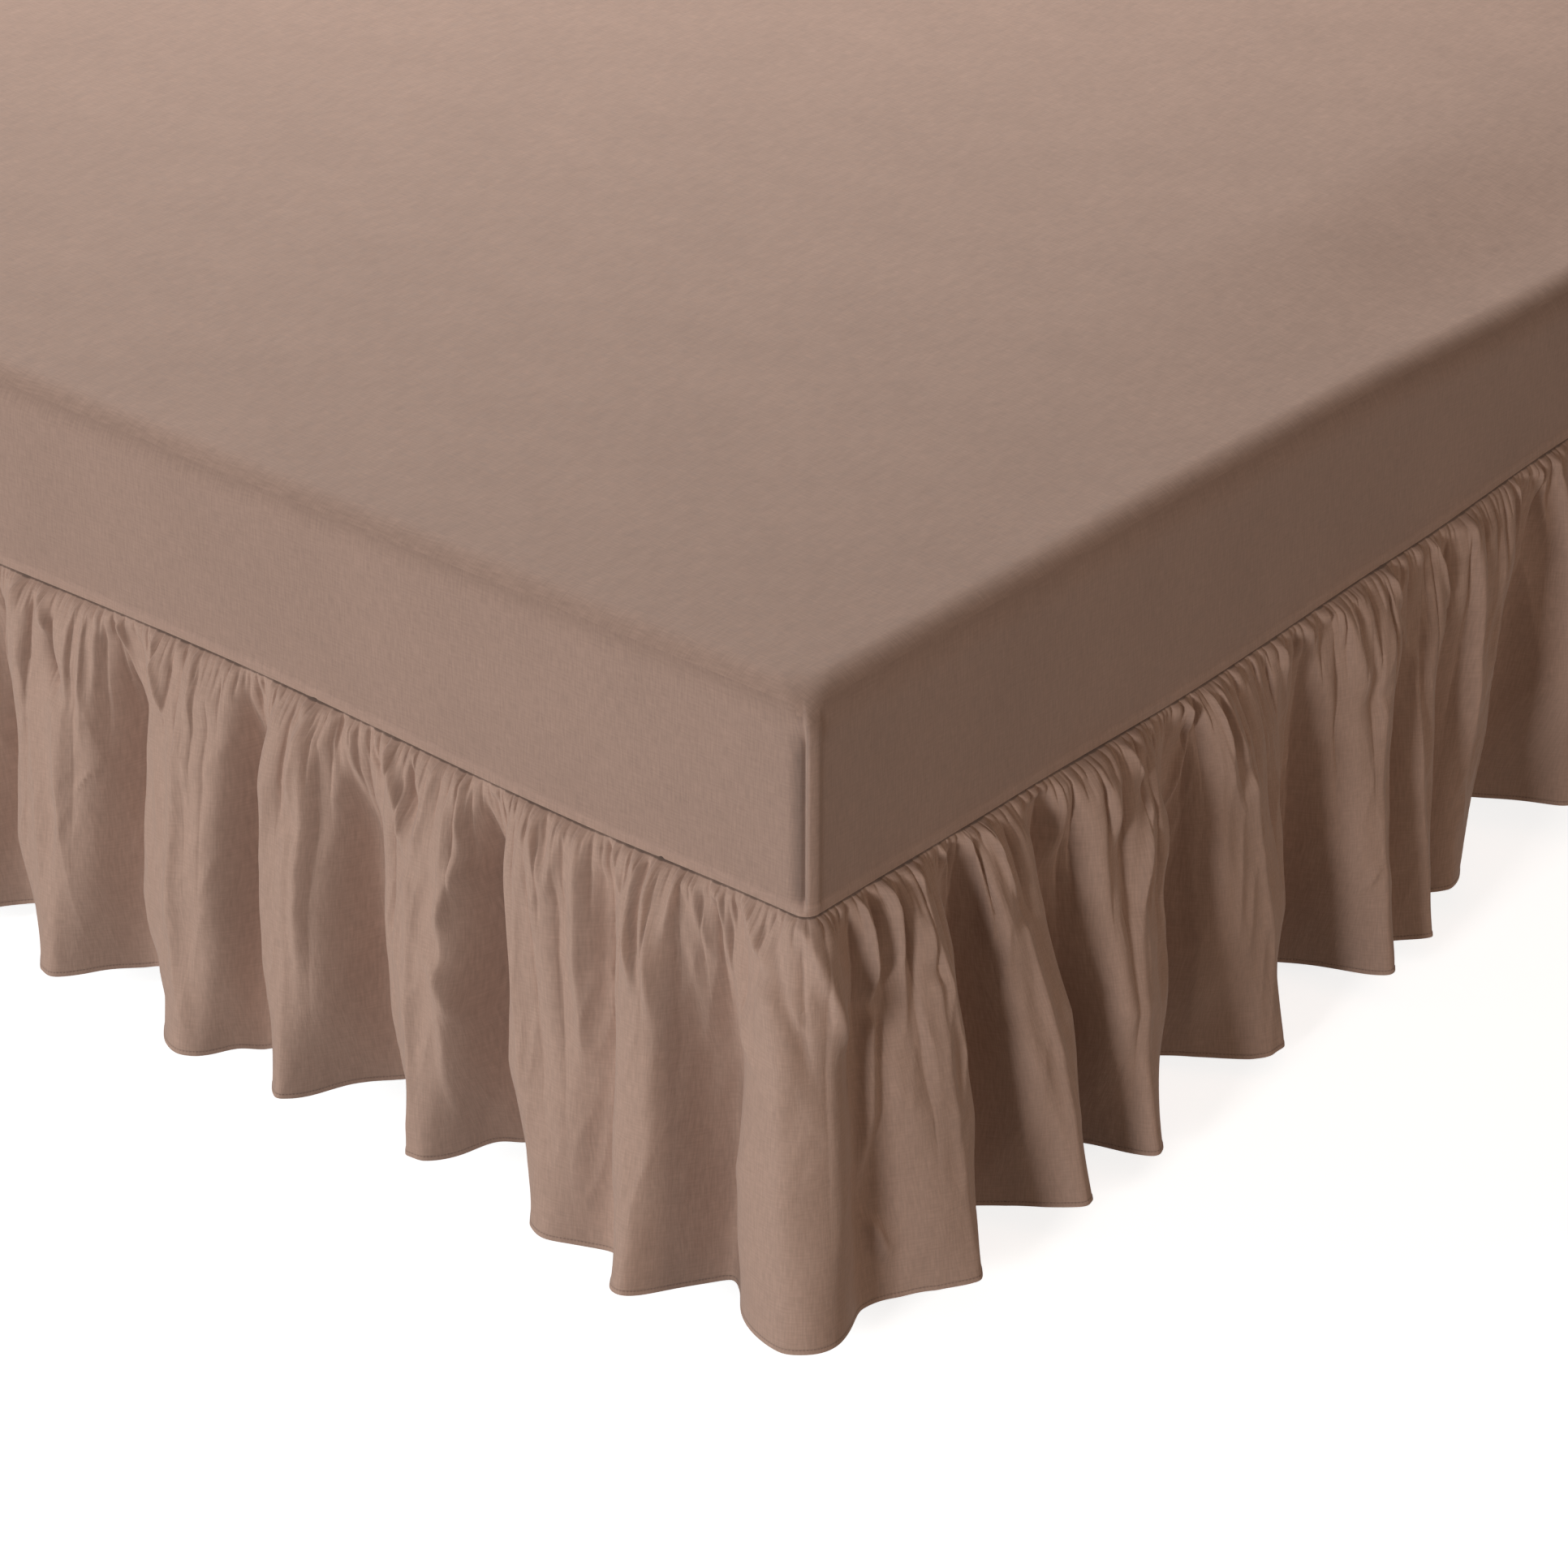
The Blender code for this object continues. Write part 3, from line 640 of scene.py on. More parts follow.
def frill_lengths(near_pitch, far_pitch):
    """Lengths down the cloth, close together at the gathers and at the hem."""
    gathers = np.arange(0.0, GATHER_ZONE, near_pitch)
    body = np.arange(GATHER_ZONE, FRILL_CLOTH - HEM_DEPTH - ROOM_ABOVE_HEM, far_pitch)
    hem = FRILL_CLOTH - HEM_DEPTH + np.array(HEM_ROWS)
    return np.concatenate([gathers, body, hem])


def frill_places(start, end, count):
    """Places along the hem, spaced by how much cloth and how much seam lie between them."""
    at = np.append(np.arange(start, end, PLACE_STEP), end)
    out, _, lean, _ = fold_values(at)
    seam_step = np.gradient(at + lean, at)
    hem_step = np.sqrt(1 + np.gradient(out, at) ** 2)
    weight = np.cumsum(seam_step + HEM_WEIGHT * hem_step)
    return np.interp(np.linspace(weight[0], weight[-1], count), weight, at)


def make_frill(name, start, end, count, lengths, creases, material):
    """One length of the frill. Its end columns have the normals that the next length has."""
    at = frill_places(start, end, count)
    first, last = at[1] - at[0], at[-1] - at[-2]
    pad = np.arange(1, PAD_COLUMNS + 1)
    padded = np.concatenate([at[0] - pad[::-1] * first, at, at[-1] + pad * last])
    points = frill_points(padded, lengths, creases)
    normals = grid_normals(points)
    inner = slice(PAD_COLUMNS, -PAD_COLUMNS)
    points, normals, rows = hem_rows(points[inner], normals[inner], lengths)
    hem = np.linalg.norm(np.diff(points[:, len(lengths)], axis=0), axis=1)
    cloth = np.concatenate([[0.0], np.cumsum(hem)])
    coordinates = np.stack(np.meshgrid(cloth, rows, indexing="ij"), axis=2)
    fine_rows = int(np.searchsorted(rows, GATHER_ZONE))
    obj = grid_mesh(name, points, normals, coordinates, fine_rows, material)
    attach(obj, "root")
    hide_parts("frill")
    return obj


# Cover: the rim's turning, the upright seam's groove and lip, the pressed allowances and a pucker
RIM_TURN = 0.0012
RIM_BULGE = 0.0004
RIM_BULGE_TOP = 0.024
SEAM_GROOVE = 0.0070
SEAM_GROOVE_AT = -0.0028
SEAM_GROOVE_WIDTHS = (0.0105, 0.0013)
SEAM_LIP = 0.0008
SEAM_LIP_WIDTH = 0.0013
ALLOWANCE_RAISE = 0.0012
ALLOWANCE_TALL = 0.0095
ALLOWANCE_STEP = 0.0030
FACING_START = 0.002
FACING_WIDE = 0.010
FACING_STEP = 0.004
PUCKER_HEIGHT = 0.004
PUCKER_HALF_WIDTH = 0.010
PUCKER_AT = 0.25
PUCKER_REACH = 0.22
CORNER_SEAM_RISE = 0.014
SEAM_FADE = 1.6
INNER_CORNER = 0.8
TOP_NORMAL = 0.7
CORNER_STATIONS = np.concatenate([np.linspace(0, 0.03, 31), np.linspace(0.035, 0.095, 13)])
FROM_CORNERS = 0.10
STATION_PITCH = 0.0125

# Rings of the cover, going up. The values are heights above the seam on rim and band, angles on
# the top edge, and shares of the way in on the top.
COVER_RINGS = (
    ("rim", (0.0, 0.0005, 0.0010, RIM_TURN)),
    ("band", np.arange(0.003, 0.0165, 0.0015)),
    ("band", np.arange(0.018, 0.035, 0.003)),
    ("band", np.linspace(0.036, BAND_HEIGHT - TOP_EDGE - 0.004, 14)),
    ("edge", np.linspace(0.0, math.pi / 2, 15)),
    ("top", np.linspace(0.05, 1.0, 24)),
)


def cover_stations():
    """Places round the perimeter, close together at the four corners, as (side, along)."""
    stations = []
    for index, length in enumerate(SIDE_LENGTHS):
        count = round((length - 2 * FROM_CORNERS) / STATION_PITCH) + 1
        middle = np.linspace(FROM_CORNERS, length - FROM_CORNERS, count)
        along = np.concatenate([CORNER_STATIONS, middle, length - CORNER_STATIONS[:0:-1]])
        stations.append(np.stack([np.full(len(along), index), along / length], axis=1))
    return np.concatenate(stations)


def cover_ring(stations, inset, corner):
    """A rounded rectangle inset from the seam line: the plan and its outward direction."""
    index = stations[:, 0].astype(int)
    length = SIDE_LENGTHS[index]
    short = length - 2 * inset
    quarter = corner * math.pi / 4
    whole = short - 2 * corner + 2 * quarter
    travel = stations[:, 1] * whole
    point = STARTS[index] - OUTWARD[index] * inset + ALONG[index] * inset
    along = np.clip(travel - quarter, 0, whole - 2 * quarter) + corner
    turn = np.zeros(len(stations))
    depth = np.zeros(len(stations))
    for left, way in ((quarter - travel, -1.0), (travel - (whole - quarter), 1.0)):
        angle = np.clip(left / max(corner, 1e-9), 0, math.pi / 4)
        along = along + way * corner * np.sin(angle)
        depth = depth + corner * (1 - np.cos(angle))
        turn = turn + way * angle
    point = point + ALONG[index] * along[:, None] - OUTWARD[index] * depth[:, None]
    direction = OUTWARD[index] * np.cos(turn)[:, None] + ALONG[index] * np.sin(turn)[:, None]
    return point, direction


def from_near_corner(stations):
    """Signed distance to the nearest corner: above zero where the corner starts the side."""
    index = stations[:, 0].astype(int)
    length = SIDE_LENGTHS[index]
    along = stations[:, 1] * length
    return np.where(along < length / 2, along, along - length)


def corner_relief(gap):
    """The upright corner seam: a groove on one side of it, a lip, and the allowance beside it."""
    beside = gap - SEAM_GROOVE_AT
    width = np.where(beside < 0, *SEAM_GROOVE_WIDTHS)
    groove = -SEAM_GROOVE * np.exp(-((beside / width) ** 2))
    lip = SEAM_LIP * np.exp(-((gap / SEAM_LIP_WIDTH) ** 2))
    raised = smooth(gap / FACING_START) * (1 - smooth((gap - FACING_WIDE) / FACING_STEP))
    return groove + lip + ALLOWANCE_RAISE * raised


def make_cover(band_material, top_material):
    """The cover as one sheet: rolled rim, band with four sewn corners, soft edge and flat top."""
    stations = cover_stations()
    side = stations[:, 0].astype(int)
    travel = CORNERS[side] + stations[:, 1] * SIDE_LENGTHS[side]
    low = SEAM_HEIGHT + seam_rise(travel)
    edge_rise = top_edge_rise(travel)
    gap = from_near_corner(stations)
    rings = []
    for kind, value in [(kind, value) for kind, values in COVER_RINGS for value in values]:
        if kind == "rim":
            angle = value / RIM_TURN * math.pi / 2
            inset, corner = RIM_TURN * (1 - math.sin(angle)), BAND_CORNER
            height = low + RIM_TURN * (1 - math.cos(angle))
            relief = (RIM_BULGE + ALLOWANCE_RAISE) * math.sin(angle)
        elif kind == "band":
            inset, corner = 0.0, BAND_CORNER
            share = (value - RIM_TURN) / (BAND_HEIGHT - TOP_EDGE - RIM_TURN)
            height = low + value + smooth(share) * (SEAM_HEIGHT + edge_rise - low)
            bulge = RIM_BULGE * (1 - smooth((value - RIM_TURN) / RIM_BULGE_TOP))
            pressed = ALLOWANCE_RAISE * (1 - smooth((value - ALLOWANCE_TALL) / ALLOWANCE_STEP))
            seam = corner_relief(gap) * smooth((value - RIM_TURN) / CORNER_SEAM_RISE)
            relief = bulge + pressed + seam
        elif kind == "edge":
            share = value / (math.pi / 2)
            inset = TOP_EDGE * (1 - math.cos(value))
            corner = BAND_CORNER + (TOP_CORNER - BAND_CORNER) * float(smooth(share))
            height = TOP_HEIGHT - TOP_EDGE * (1 - math.sin(value)) + edge_rise
            pucker = PUCKER_HEIGHT * np.exp(-((gap / PUCKER_HALF_WIDTH) ** 2))
            pucker *= math.exp(-(((share - PUCKER_AT) / PUCKER_REACH) ** 2))
            relief = corner_relief(gap) * (1 - float(smooth(share * SEAM_FADE))) + pucker
        else:
            inset = TOP_EDGE + (DROOP_REACH - TOP_EDGE) * value
            corner = TOP_CORNER * (1 - INNER_CORNER * value)
            height = TOP_HEIGHT + edge_rise * (1 - float(smooth(value)))
            relief = 0.0
        plan, direction = cover_ring(stations, inset, corner)
        plan = plan + direction * np.broadcast_to(relief, gap.shape)[:, None]
        rings.append(np.concatenate([plan, height[:, None]], axis=1))
    points = np.stack(rings, axis=1)
    count, levels = points.shape[:2]
    mesh = bpy.data.meshes.new("cover_cloth")
    column = np.arange(count)[:, None]
    level = np.arange(levels - 1)[None, :]
    after = (column + 1) % count
    quads = np.stack(
        [
            column * levels + level,
            after * levels + level,
            after * levels + level + 1,
            column * levels + level + 1,
        ],
        axis=2,
    ).reshape(-1, 4)
    faces = quads.tolist()
    faces.append([int(i) * levels + levels - 1 for i in range(count)])
    mesh.from_pydata(points.reshape(-1, 3).tolist(), [], faces)
    mesh.update()
    mesh.shade_smooth()
    layer = mesh.uv_layers.new(name="cloth")
    values = np.empty((len(mesh.loops), 2))
    seams = mesh.uv_layers.new(name="seams")
    from_seams = np.empty((len(mesh.loops), 2))
    flat = points.reshape(-1, 3)
    mesh.materials.append(band_material)
    mesh.materials.append(top_material)
    for face in mesh.polygons:
        on_top = face.normal.z > TOP_NORMAL
        face.material_index = int(on_top)
        for loop in face.loop_indices:
            vertex = mesh.loops[loop].vertex_index
            from_seams[loop] = gap[vertex // levels], flat[vertex, 2] - low[vertex // levels]
            if on_top:
                values[loop] = flat[vertex, 0], flat[vertex, 1]
            else:
                values[loop] = travel[vertex // levels], flat[vertex, 2]
    layer.data.foreach_set("uv", values.ravel())
    seams.data.foreach_set("uv", from_seams.ravel())
    obj = bpy.data.objects.new("cover_cloth", mesh)
    bpy.context.scene.collection.objects.link(obj)
    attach(obj, "root")
    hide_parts("cover")
    return obj


class Nodes:
    """Short ways to add shader nodes to one material."""

    def __init__(self, name, roughness, specular, sheen):
        self.material = bpy.data.materials.new(name)
        self.material.use_nodes = True
        self.tree = self.material.node_tree
        self.shader = self.tree.nodes["Principled BSDF"]
        self.shader.inputs["Roughness"].default_value = roughness
        self.shader.inputs["Specular IOR Level"].default_value = specular
        self.shader.inputs["Sheen Weight"].default_value = sheen
        self.shader.inputs["Sheen Roughness"].default_value = 0.5

    def link(self, value, socket):
        if isinstance(value, (int, float, tuple)):
            socket.default_value = value
        else:
            self.tree.links.new(value, socket)

    def scaled(self, place, x, y, z=1.0):
        node = self.tree.nodes.new("ShaderNodeMapping")
        node.inputs["Scale"].default_value = (x, y, z)
        self.link(place, node.inputs["Vector"])
        return node.outputs["Vector"]

    def noise(self, place, x, y, detail=2.0, z=1.0):
        node = self.tree.nodes.new("ShaderNodeTexNoise")
        node.inputs["Scale"].default_value = 1.0
        node.inputs["Detail"].default_value = detail
        self.link(self.scaled(place, x, y, z), node.inputs["Vector"])
        return node.outputs["Fac"]

    def math(self, kind, first, second=0.0):
        node = self.tree.nodes.new("ShaderNodeMath")
        node.operation = kind
        self.link(first, node.inputs[0])
        self.link(second, node.inputs[1])
        return node.outputs["Value"]

    def mapped(self, value, start, end, low, high):
        node = self.tree.nodes.new("ShaderNodeMapRange")
        numbers = {"From Min": start, "From Max": end, "To Min": low, "To Max": high}
        for name, number in numbers.items():
            node.inputs[name].default_value = number
        self.link(value, node.inputs["Value"])
        return node.outputs["Result"]

    def toned(self, colour, tone):
        node = self.tree.nodes.new("ShaderNodeVectorMath")
        node.operation = "SCALE"
        node.inputs[0].default_value = colour
        self.link(tone, node.inputs["Scale"])
        self.link(node.outputs["Vector"], self.shader.inputs["Base Color"])

    def bump(self, height, strength, distance, normal=None):
        node = self.tree.nodes.new("ShaderNodeBump")
        node.inputs["Strength"].default_value = strength
        node.inputs["Distance"].default_value = distance
        self.link(height, node.inputs["Height"])
        if normal is not None:
            self.link(normal, node.inputs["Normal"])
        return node.outputs["Normal"]


# Cloth materials: noise runs from NOISE_LOW to NOISE_HIGH, and tones multiply the cloth's colour.
# Each kind of noise has its scale along u, its scale along v, and its detail.
NOISE_LOW = 0.3
NOISE_HIGH = 0.7
CLOUD_NOISE = (9.0, 7.0, 4.0)
SLUB_NOISE = (34.0, 95.0, 1.0)
CRUMPLE_NOISE = (38.0, 22.0, 3.0)
THREADS_ALONG = 62.0
THREADS_ACROSS = 620.0
WARP_TONES = (0.905, 1.095)
WEFT_TONES = (0.94, 1.06)
CLOUD_TONES = (0.965, 1.035)
SLUB_TONES = (0.965, 1.035)
WARP_ROUGHNESS = (0.78, 0.92)
WARP_DEPTH = 0.6
WEFT_DEPTH = 0.4
THREAD_BUMP = 0.0004
FRILL_CRUMPLE_BUMP = 0.0032
COVER_CRUMPLE_BUMP = 0.0012
STITCH_UP = 0.0042
STITCH_HALF = 0.0006
STITCH_PITCH = 0.0032
STITCH_EDGES = (0.4 * STITCH_HALF, 1.6 * STITCH_HALF)
STITCH_ENDS = (-0.5, 0.4)
STITCH_SUNK = 2.0
# Painted shade in the crevice at the top of the frill: how far down it reaches, and its tone.
SEAM_PAINTED_SHADE_REACH = 0.0013
SEAM_PAINTED_SHADE_TONE = 0.45
# Painted shade in the groove beside each upright seam of the band:
GROOVE_PAINTED_SHADE_TONE = 0.74
STITCH_TONE = 0.70
STITCH_GAP_TONE = 0.45

# Painted light and shade of the band: a painted lighter strip along the seam, and at each upright
# seam painted shade in the groove on one side and a painted lighter facing on the other. Gaps are
# from the corner, heights from the seam.
STRIP_PAINTED_LIGHT_TONE = 1.11
FACING_PAINTED_LIGHT_TONE = 1.08
PAINTED_SHADE_FAR_GAPS = (-0.020, -0.010)
PAINTED_SHADE_NEAR_GAPS = (-0.0030, -0.0018)
PAINTED_LIGHT_NEAR_GAPS = (-0.002, -0.001)
PAINTED_LIGHT_FAR_GAPS = (0.010, 0.012)
SEAM_LOW_HEIGHTS = (0.008, 0.016)
SEAM_HIGH_HEIGHTS = (0.145, 0.172)


def cloth_material(name, colour, part):
    """Matte plain-weave cloth. UV is in metres: U along the weft, V along the warp.

    part is frill, band or top: the frill has its hem stitches and painted shade along the seam,
    the band a painted lighter strip along the seam and painted shade and light at its upright
    seams, and the top its own slubs."""
    made = Nodes(name, roughness=0.85, specular=0.2, sheen=0.12)
    uv = made.tree.nodes.new("ShaderNodeUVMap")
    uv.uv_map = "cloth"
    place = uv.outputs["UV"]
    warp = made.noise(place, THREADS_ACROSS, THREADS_ALONG)
    weft = made.noise(place, THREADS_ALONG, THREADS_ACROSS)
    tone = made.math(
        "MULTIPLY",
        made.mapped(warp, NOISE_LOW, NOISE_HIGH, *WARP_TONES),
        made.mapped(weft, NOISE_LOW, NOISE_HIGH, *WEFT_TONES),
    )
    cloud = made.noise(place, *CLOUD_NOISE)
    tone = made.math("MULTIPLY", tone, made.mapped(cloud, NOISE_LOW, NOISE_HIGH, *CLOUD_TONES))
    warp_height = made.math("MULTIPLY", warp, WARP_DEPTH)
    weft_height = made.math("MULTIPLY", weft, WEFT_DEPTH)
    threads = made.math("ADD", warp_height, weft_height)
    if part == "top":
        rows = made.noise(place, *SLUB_NOISE)
        tone = made.math("MULTIPLY", tone, made.mapped(rows, NOISE_LOW, NOISE_HIGH, *SLUB_TONES))
    if part == "band":
        seams = made.tree.nodes.new("ShaderNodeUVMap")
        seams.uv_map = "seams"
        split = made.tree.nodes.new("ShaderNodeSeparateXYZ")
        made.link(seams.outputs["UV"], split.inputs["Vector"])
        gap, above = split.outputs["X"], split.outputs["Y"]
        # Painted highlight: the band's colour is made lighter on the strip just above the seam.
        painted_strip_heights = (ALLOWANCE_TALL, ALLOWANCE_TALL + ALLOWANCE_STEP)
        painted_strip_light = made.mapped(above, *painted_strip_heights, STRIP_PAINTED_LIGHT_TONE, 1.0)
        # Painted shade: the band's colour is darkened in the groove beside each upright seam.
        beside = made.mapped(gap, *PAINTED_SHADE_FAR_GAPS, 0.0, 1.0)
        inside = made.mapped(gap, *PAINTED_SHADE_NEAR_GAPS, 1.0, 0.0)
        low_end = made.mapped(above, *SEAM_LOW_HEIGHTS, 0.0, 1.0)
        high_end = made.mapped(above, *SEAM_HIGH_HEIGHTS, 1.0, 0.0)
        groove = made.math("MULTIPLY", made.math("MULTIPLY", beside, inside), low_end)
        groove = made.mapped(made.math("MULTIPLY", groove, high_end), 0.0, 1.0, 1.0, GROOVE_PAINTED_SHADE_TONE)
        # Painted highlight: the band's colour is made lighter on the facing beside each upright
        # seam.
        painted_facing_light = made.math("MULTIPLY", made.mapped(gap, *PAINTED_LIGHT_NEAR_GAPS, 0.0, 1.0), high_end)
        painted_facing_light = made.math("MULTIPLY", painted_facing_light, made.mapped(gap, *PAINTED_LIGHT_FAR_GAPS, 1.0, 0.0))
        painted_facing_light = made.mapped(painted_facing_light, 0.0, 1.0, 1.0, FACING_PAINTED_LIGHT_TONE)
        tone = made.math("MULTIPLY", tone, made.math("MULTIPLY", painted_strip_light, groove))
        tone = made.math("MULTIPLY", tone, painted_facing_light)
    if part == "frill":
        split = made.tree.nodes.new("ShaderNodeSeparateXYZ")
        made.link(place, split.inputs["Vector"])
        off_line = made.math("SUBTRACT", split.outputs["Y"], FRILL_CLOTH - STITCH_UP)
        off_line = made.math("ABSOLUTE", off_line)
        line = made.mapped(off_line, *STITCH_EDGES, 1.0, 0.0)
        turns = made.math("MULTIPLY", split.outputs["X"], 2 * math.pi / STITCH_PITCH)
        each = made.mapped(made.math("SINE", turns), *STITCH_ENDS, STITCH_GAP_TONE, 1.0)
        stitches = made.math("MULTIPLY", line, each)
        tone = made.math("MULTIPLY", tone, made.mapped(stitches, 0.0, 1.0, 1.0, STITCH_TONE))
        # Painted shade: the top of the frill is darkened along the seam, in the crevice under the
        # band's rim.
        seam = made.mapped(split.outputs["Y"], 0.5 * SEAM_PAINTED_SHADE_REACH, SEAM_PAINTED_SHADE_REACH, SEAM_PAINTED_SHADE_TONE, 1.0)
        tone = made.math("MULTIPLY", tone, seam)
        threads = made.math("SUBTRACT", threads, made.math("MULTIPLY", stitches, STITCH_SUNK))
    made.toned(colour, tone)
    roughness = made.mapped(warp, NOISE_LOW, NOISE_HIGH, *WARP_ROUGHNESS)
    made.link(roughness, made.shader.inputs["Roughness"])
    fine = made.bump(threads, 0.5, THREAD_BUMP)
    crumple = made.noise(place, *CRUMPLE_NOISE)
    deep = FRILL_CRUMPLE_BUMP if part == "frill" else COVER_CRUMPLE_BUMP
    soft = made.bump(crumple, 0.5, deep, fine)
    made.link(soft, made.shader.inputs["Normal"])
    return made.material


# Mattress and base: each has a pitch and a tone of its stripes.
WEAVE_SCALE = 500.0
WEAVE_TONES = (0.92, 1.08)
STRIPE_EDGES = (-0.3, 0.3)
TICKING_STRIPES = (0.030, 0.86)
BASE_STRIPES = (0.011, 0.93)


def hidden_material(name, colour, stripe_pitch, stripe_tone):
    """Plain woven cover with soft stripes, for what the cloth fits over."""
    made = Nodes(name, roughness=0.9, specular=0.2, sheen=0.1)
    source = made.tree.nodes.new("ShaderNodeTexCoord")
    place = source.outputs["Object"]
    split = made.tree.nodes.new("ShaderNodeSeparateXYZ")
    made.link(place, split.inputs["Vector"])
    wave = made.math("SINE", made.math("MULTIPLY", split.outputs["X"], 2 * math.pi / stripe_pitch))
    stripes = made.mapped(wave, *STRIPE_EDGES, stripe_tone, 1.0)
    weave = made.noise(place, WEAVE_SCALE, WEAVE_SCALE, z=WEAVE_SCALE)
    weave_tone = made.mapped(weave, NOISE_LOW, NOISE_HIGH, *WEAVE_TONES)
    made.toned(colour, made.math("MULTIPLY", stripes, weave_tone))
    made.link(made.bump(weave, 0.5, THREAD_BUMP), made.shader.inputs["Normal"])
    return made.material


def recolour(node_name, material):
    """Gives a CAD object a new material in each of its slots."""
    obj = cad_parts[node_name]
    for slot in obj.material_slots:
        slot.link = "OBJECT"
        slot.material = material
    if not obj.material_slots:
        obj.data.materials.append(material)


# Painted light: the frill is the same cloth as the top, its colour painted lighter.
FRILL_COLOUR_PAINTED_LIGHTER = (0.401, 0.266, 0.210)
# Painted shade: the band is the same cloth as the top, its colour painted darker.
BAND_COLOUR_PAINTED_DARKER = (0.330, 0.218, 0.173)
TOP_COLOUR = (0.355, 0.235, 0.186)
TICKING_COLOUR = (0.72, 0.70, 0.65)
BASE_COLOUR = (0.30, 0.28, 0.26)

# The frill's four lengths, by place along the hem, with the creases on the two near ones
NEAR_COLUMNS = 1501
FAR_COLUMNS = 1701
NEAR_PITCHES = (0.0026, 0.0058)
FAR_PITCHES = (0.0045, 0.0090)
NEAR_END = -1.16
NEAR_CORNER = 0.034
NEAR_SIDE = 1.235

cloth = cloth_material("skirt_cloth", FRILL_COLOUR_PAINTED_LIGHTER, "frill")
recolour("mattress", hidden_material("mattress_ticking", TICKING_COLOUR, *TICKING_STRIPES))
recolour("bed_base", hidden_material("base_fabric", BASE_COLOUR, *BASE_STRIPES))
near_lengths = frill_lengths(*NEAR_PITCHES)
far_lengths = frill_lengths(*FAR_PITCHES)
far_end = SEAM_LOOP + NEAR_END
middle = (NEAR_SIDE + far_end) / 2
make_frill("frill_near_end", NEAR_END, NEAR_CORNER, NEAR_COLUMNS, near_lengths, CREASES, cloth)
make_frill("frill_near_side", NEAR_CORNER, NEAR_SIDE, NEAR_COLUMNS, near_lengths, CREASES, cloth)
make_frill("frill_far_side", NEAR_SIDE, middle, FAR_COLUMNS, far_lengths, (), cloth)
make_frill("frill_far_end", middle, far_end, FAR_COLUMNS, far_lengths, (), cloth)
make_cover(
    cloth_material("skirt_band_painted_light_and_shade", BAND_COLOUR_PAINTED_DARKER, "band"),
    cloth_material("skirt_top", TOP_COLOUR, "top"),
)

# Floor
FLOOR_HALF = 45.0
FLOOR_BRIGHTNESS = 0.80
FLOOR_COLOUR = (0.93, 0.93, 0.93, 1.0)
FLOOR_ROUGHNESS = 0.9
GLOW_COLOUR = (1.0, 1.0, 1.0, 1.0)
floor_mesh = bpy.data.meshes.new("floor")
floor_mesh.from_pydata(
    [(-1.0, -1.0, 0.0), (1.0, -1.0, 0.0), (1.0, 1.0, 0.0), (-1.0, 1.0, 0.0)],
    [],
    [(0, 1, 2, 3)],
)
floor_mesh.transform(Matrix.Scale(FLOOR_HALF, 4))
floor = bpy.data.objects.new("floor", floor_mesh)
bpy.context.scene.collection.objects.link(floor)
floor_material = bpy.data.materials.new("floor")
floor_material.use_nodes = True
floor_shader = floor_material.node_tree.nodes["Principled BSDF"]
floor_shader.inputs["Base Color"].default_value = FLOOR_COLOUR
floor_shader.inputs["Roughness"].default_value = FLOOR_ROUGHNESS
floor_shader.inputs["Emission Color"].default_value = GLOW_COLOUR
floor_shader.inputs["Emission Strength"].default_value = FLOOR_BRIGHTNESS
floor_mesh.materials.append(floor_material)
floor.visible_diffuse = False

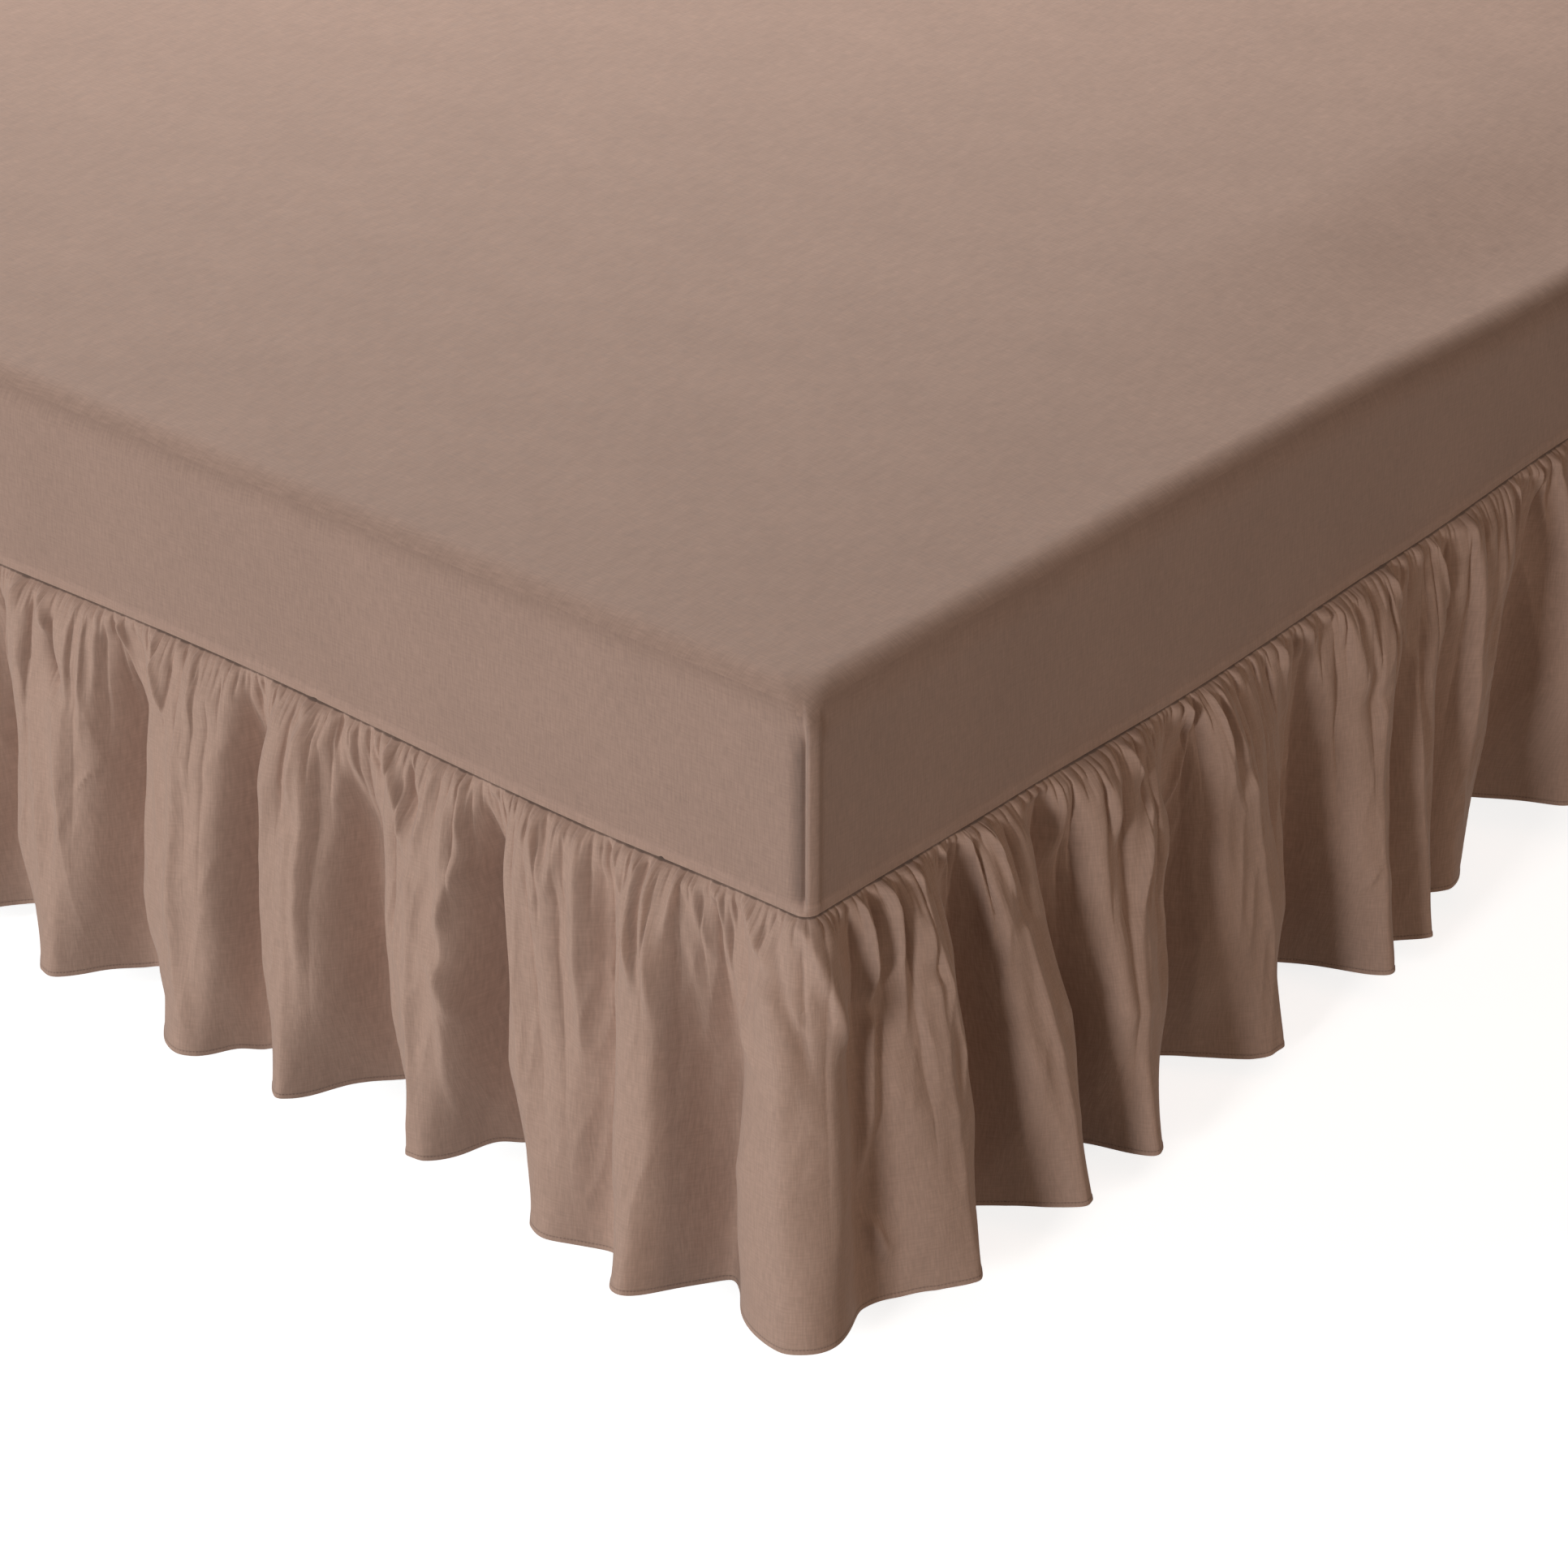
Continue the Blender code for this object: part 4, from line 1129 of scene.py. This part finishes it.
# Light
Lamp = namedtuple("Lamp", "name position target width height power tint")
COOL = (0.98, 1.0, 1.0)
WARM = (1.0, 0.82, 0.66)
WORLD_COLOUR = (1.0, 0.75, 0.54, 1.0)
WORLD_STRENGTH = 0.085
LAMPS = (
    Lamp("back_top", (2.2, 2.6, 3.4), (0.0, 0.0, 0.6), 2.2, 1.8, 272.0, (1.0, 0.98, 0.95)),
    Lamp("left_key", (-4.7, 2.1, 1.4), (-1.0, -0.3, 0.35), 1.0, 0.8, 99.0, COOL),
    Lamp("left_low", (-5.2, -1.5, 1.3), (-1.0, -0.5, 0.35), 1.0, 0.8, 101.0, COOL),
    Lamp("right_fill", (-0.4, -5.2, 1.3), (0.0, -0.9, 0.35), 1.4, 1.0, 44.0, WARM),
)
for lamp in LAMPS:
    light = bpy.data.lights.new(lamp.name, "AREA")
    light.shape = "RECTANGLE"
    light.size = lamp.width
    light.size_y = lamp.height
    light.energy = lamp.power
    light.color = lamp.tint
    holder = bpy.data.objects.new(lamp.name, light)
    holder.location = lamp.position
    aim = np.array(lamp.target) - np.array(lamp.position)
    holder.rotation_euler = Vector(aim).to_track_quat("-Z", "Y").to_euler()
    bpy.context.scene.collection.objects.link(holder)
world = bpy.data.worlds.new("studio")
world.use_nodes = True
background = world.node_tree.nodes["Background"]
background.inputs["Color"].default_value = WORLD_COLOUR
background.inputs["Strength"].default_value = WORLD_STRENGTH
bpy.context.scene.world = world
bpy.context.scene.view_settings.view_transform = "Standard"

# Camera
IMAGE_WIDTH = 1932.0
FOCAL_PIXELS = 5993.84
SENSOR_WIDTH = 36.0
CAMERA_FROM_CORNER = (-2.6068, -2.1852, 2.1046)
CAMERA_PITCH = 30.141
CAMERA_HEADING = 40.304
CAMERA_REACH = 100.0
camera_data = bpy.data.cameras.new("camera")
camera_data.sensor_width = SENSOR_WIDTH
camera_data.lens = FOCAL_PIXELS / IMAGE_WIDTH * SENSOR_WIDTH
camera_data.clip_end = CAMERA_REACH
camera = bpy.data.objects.new("camera", camera_data)
near_corner = (-BED_LENGTH / 2, -BED_WIDTH / 2, SEAM_HEIGHT)
camera.location = [corner + away for corner, away in zip(near_corner, CAMERA_FROM_CORNER)]
camera.rotation_euler = (
    math.radians(90 - CAMERA_PITCH),
    0.0,
    math.radians(CAMERA_HEADING - 90),
)
bpy.context.scene.collection.objects.link(camera)
bpy.context.scene.camera = camera
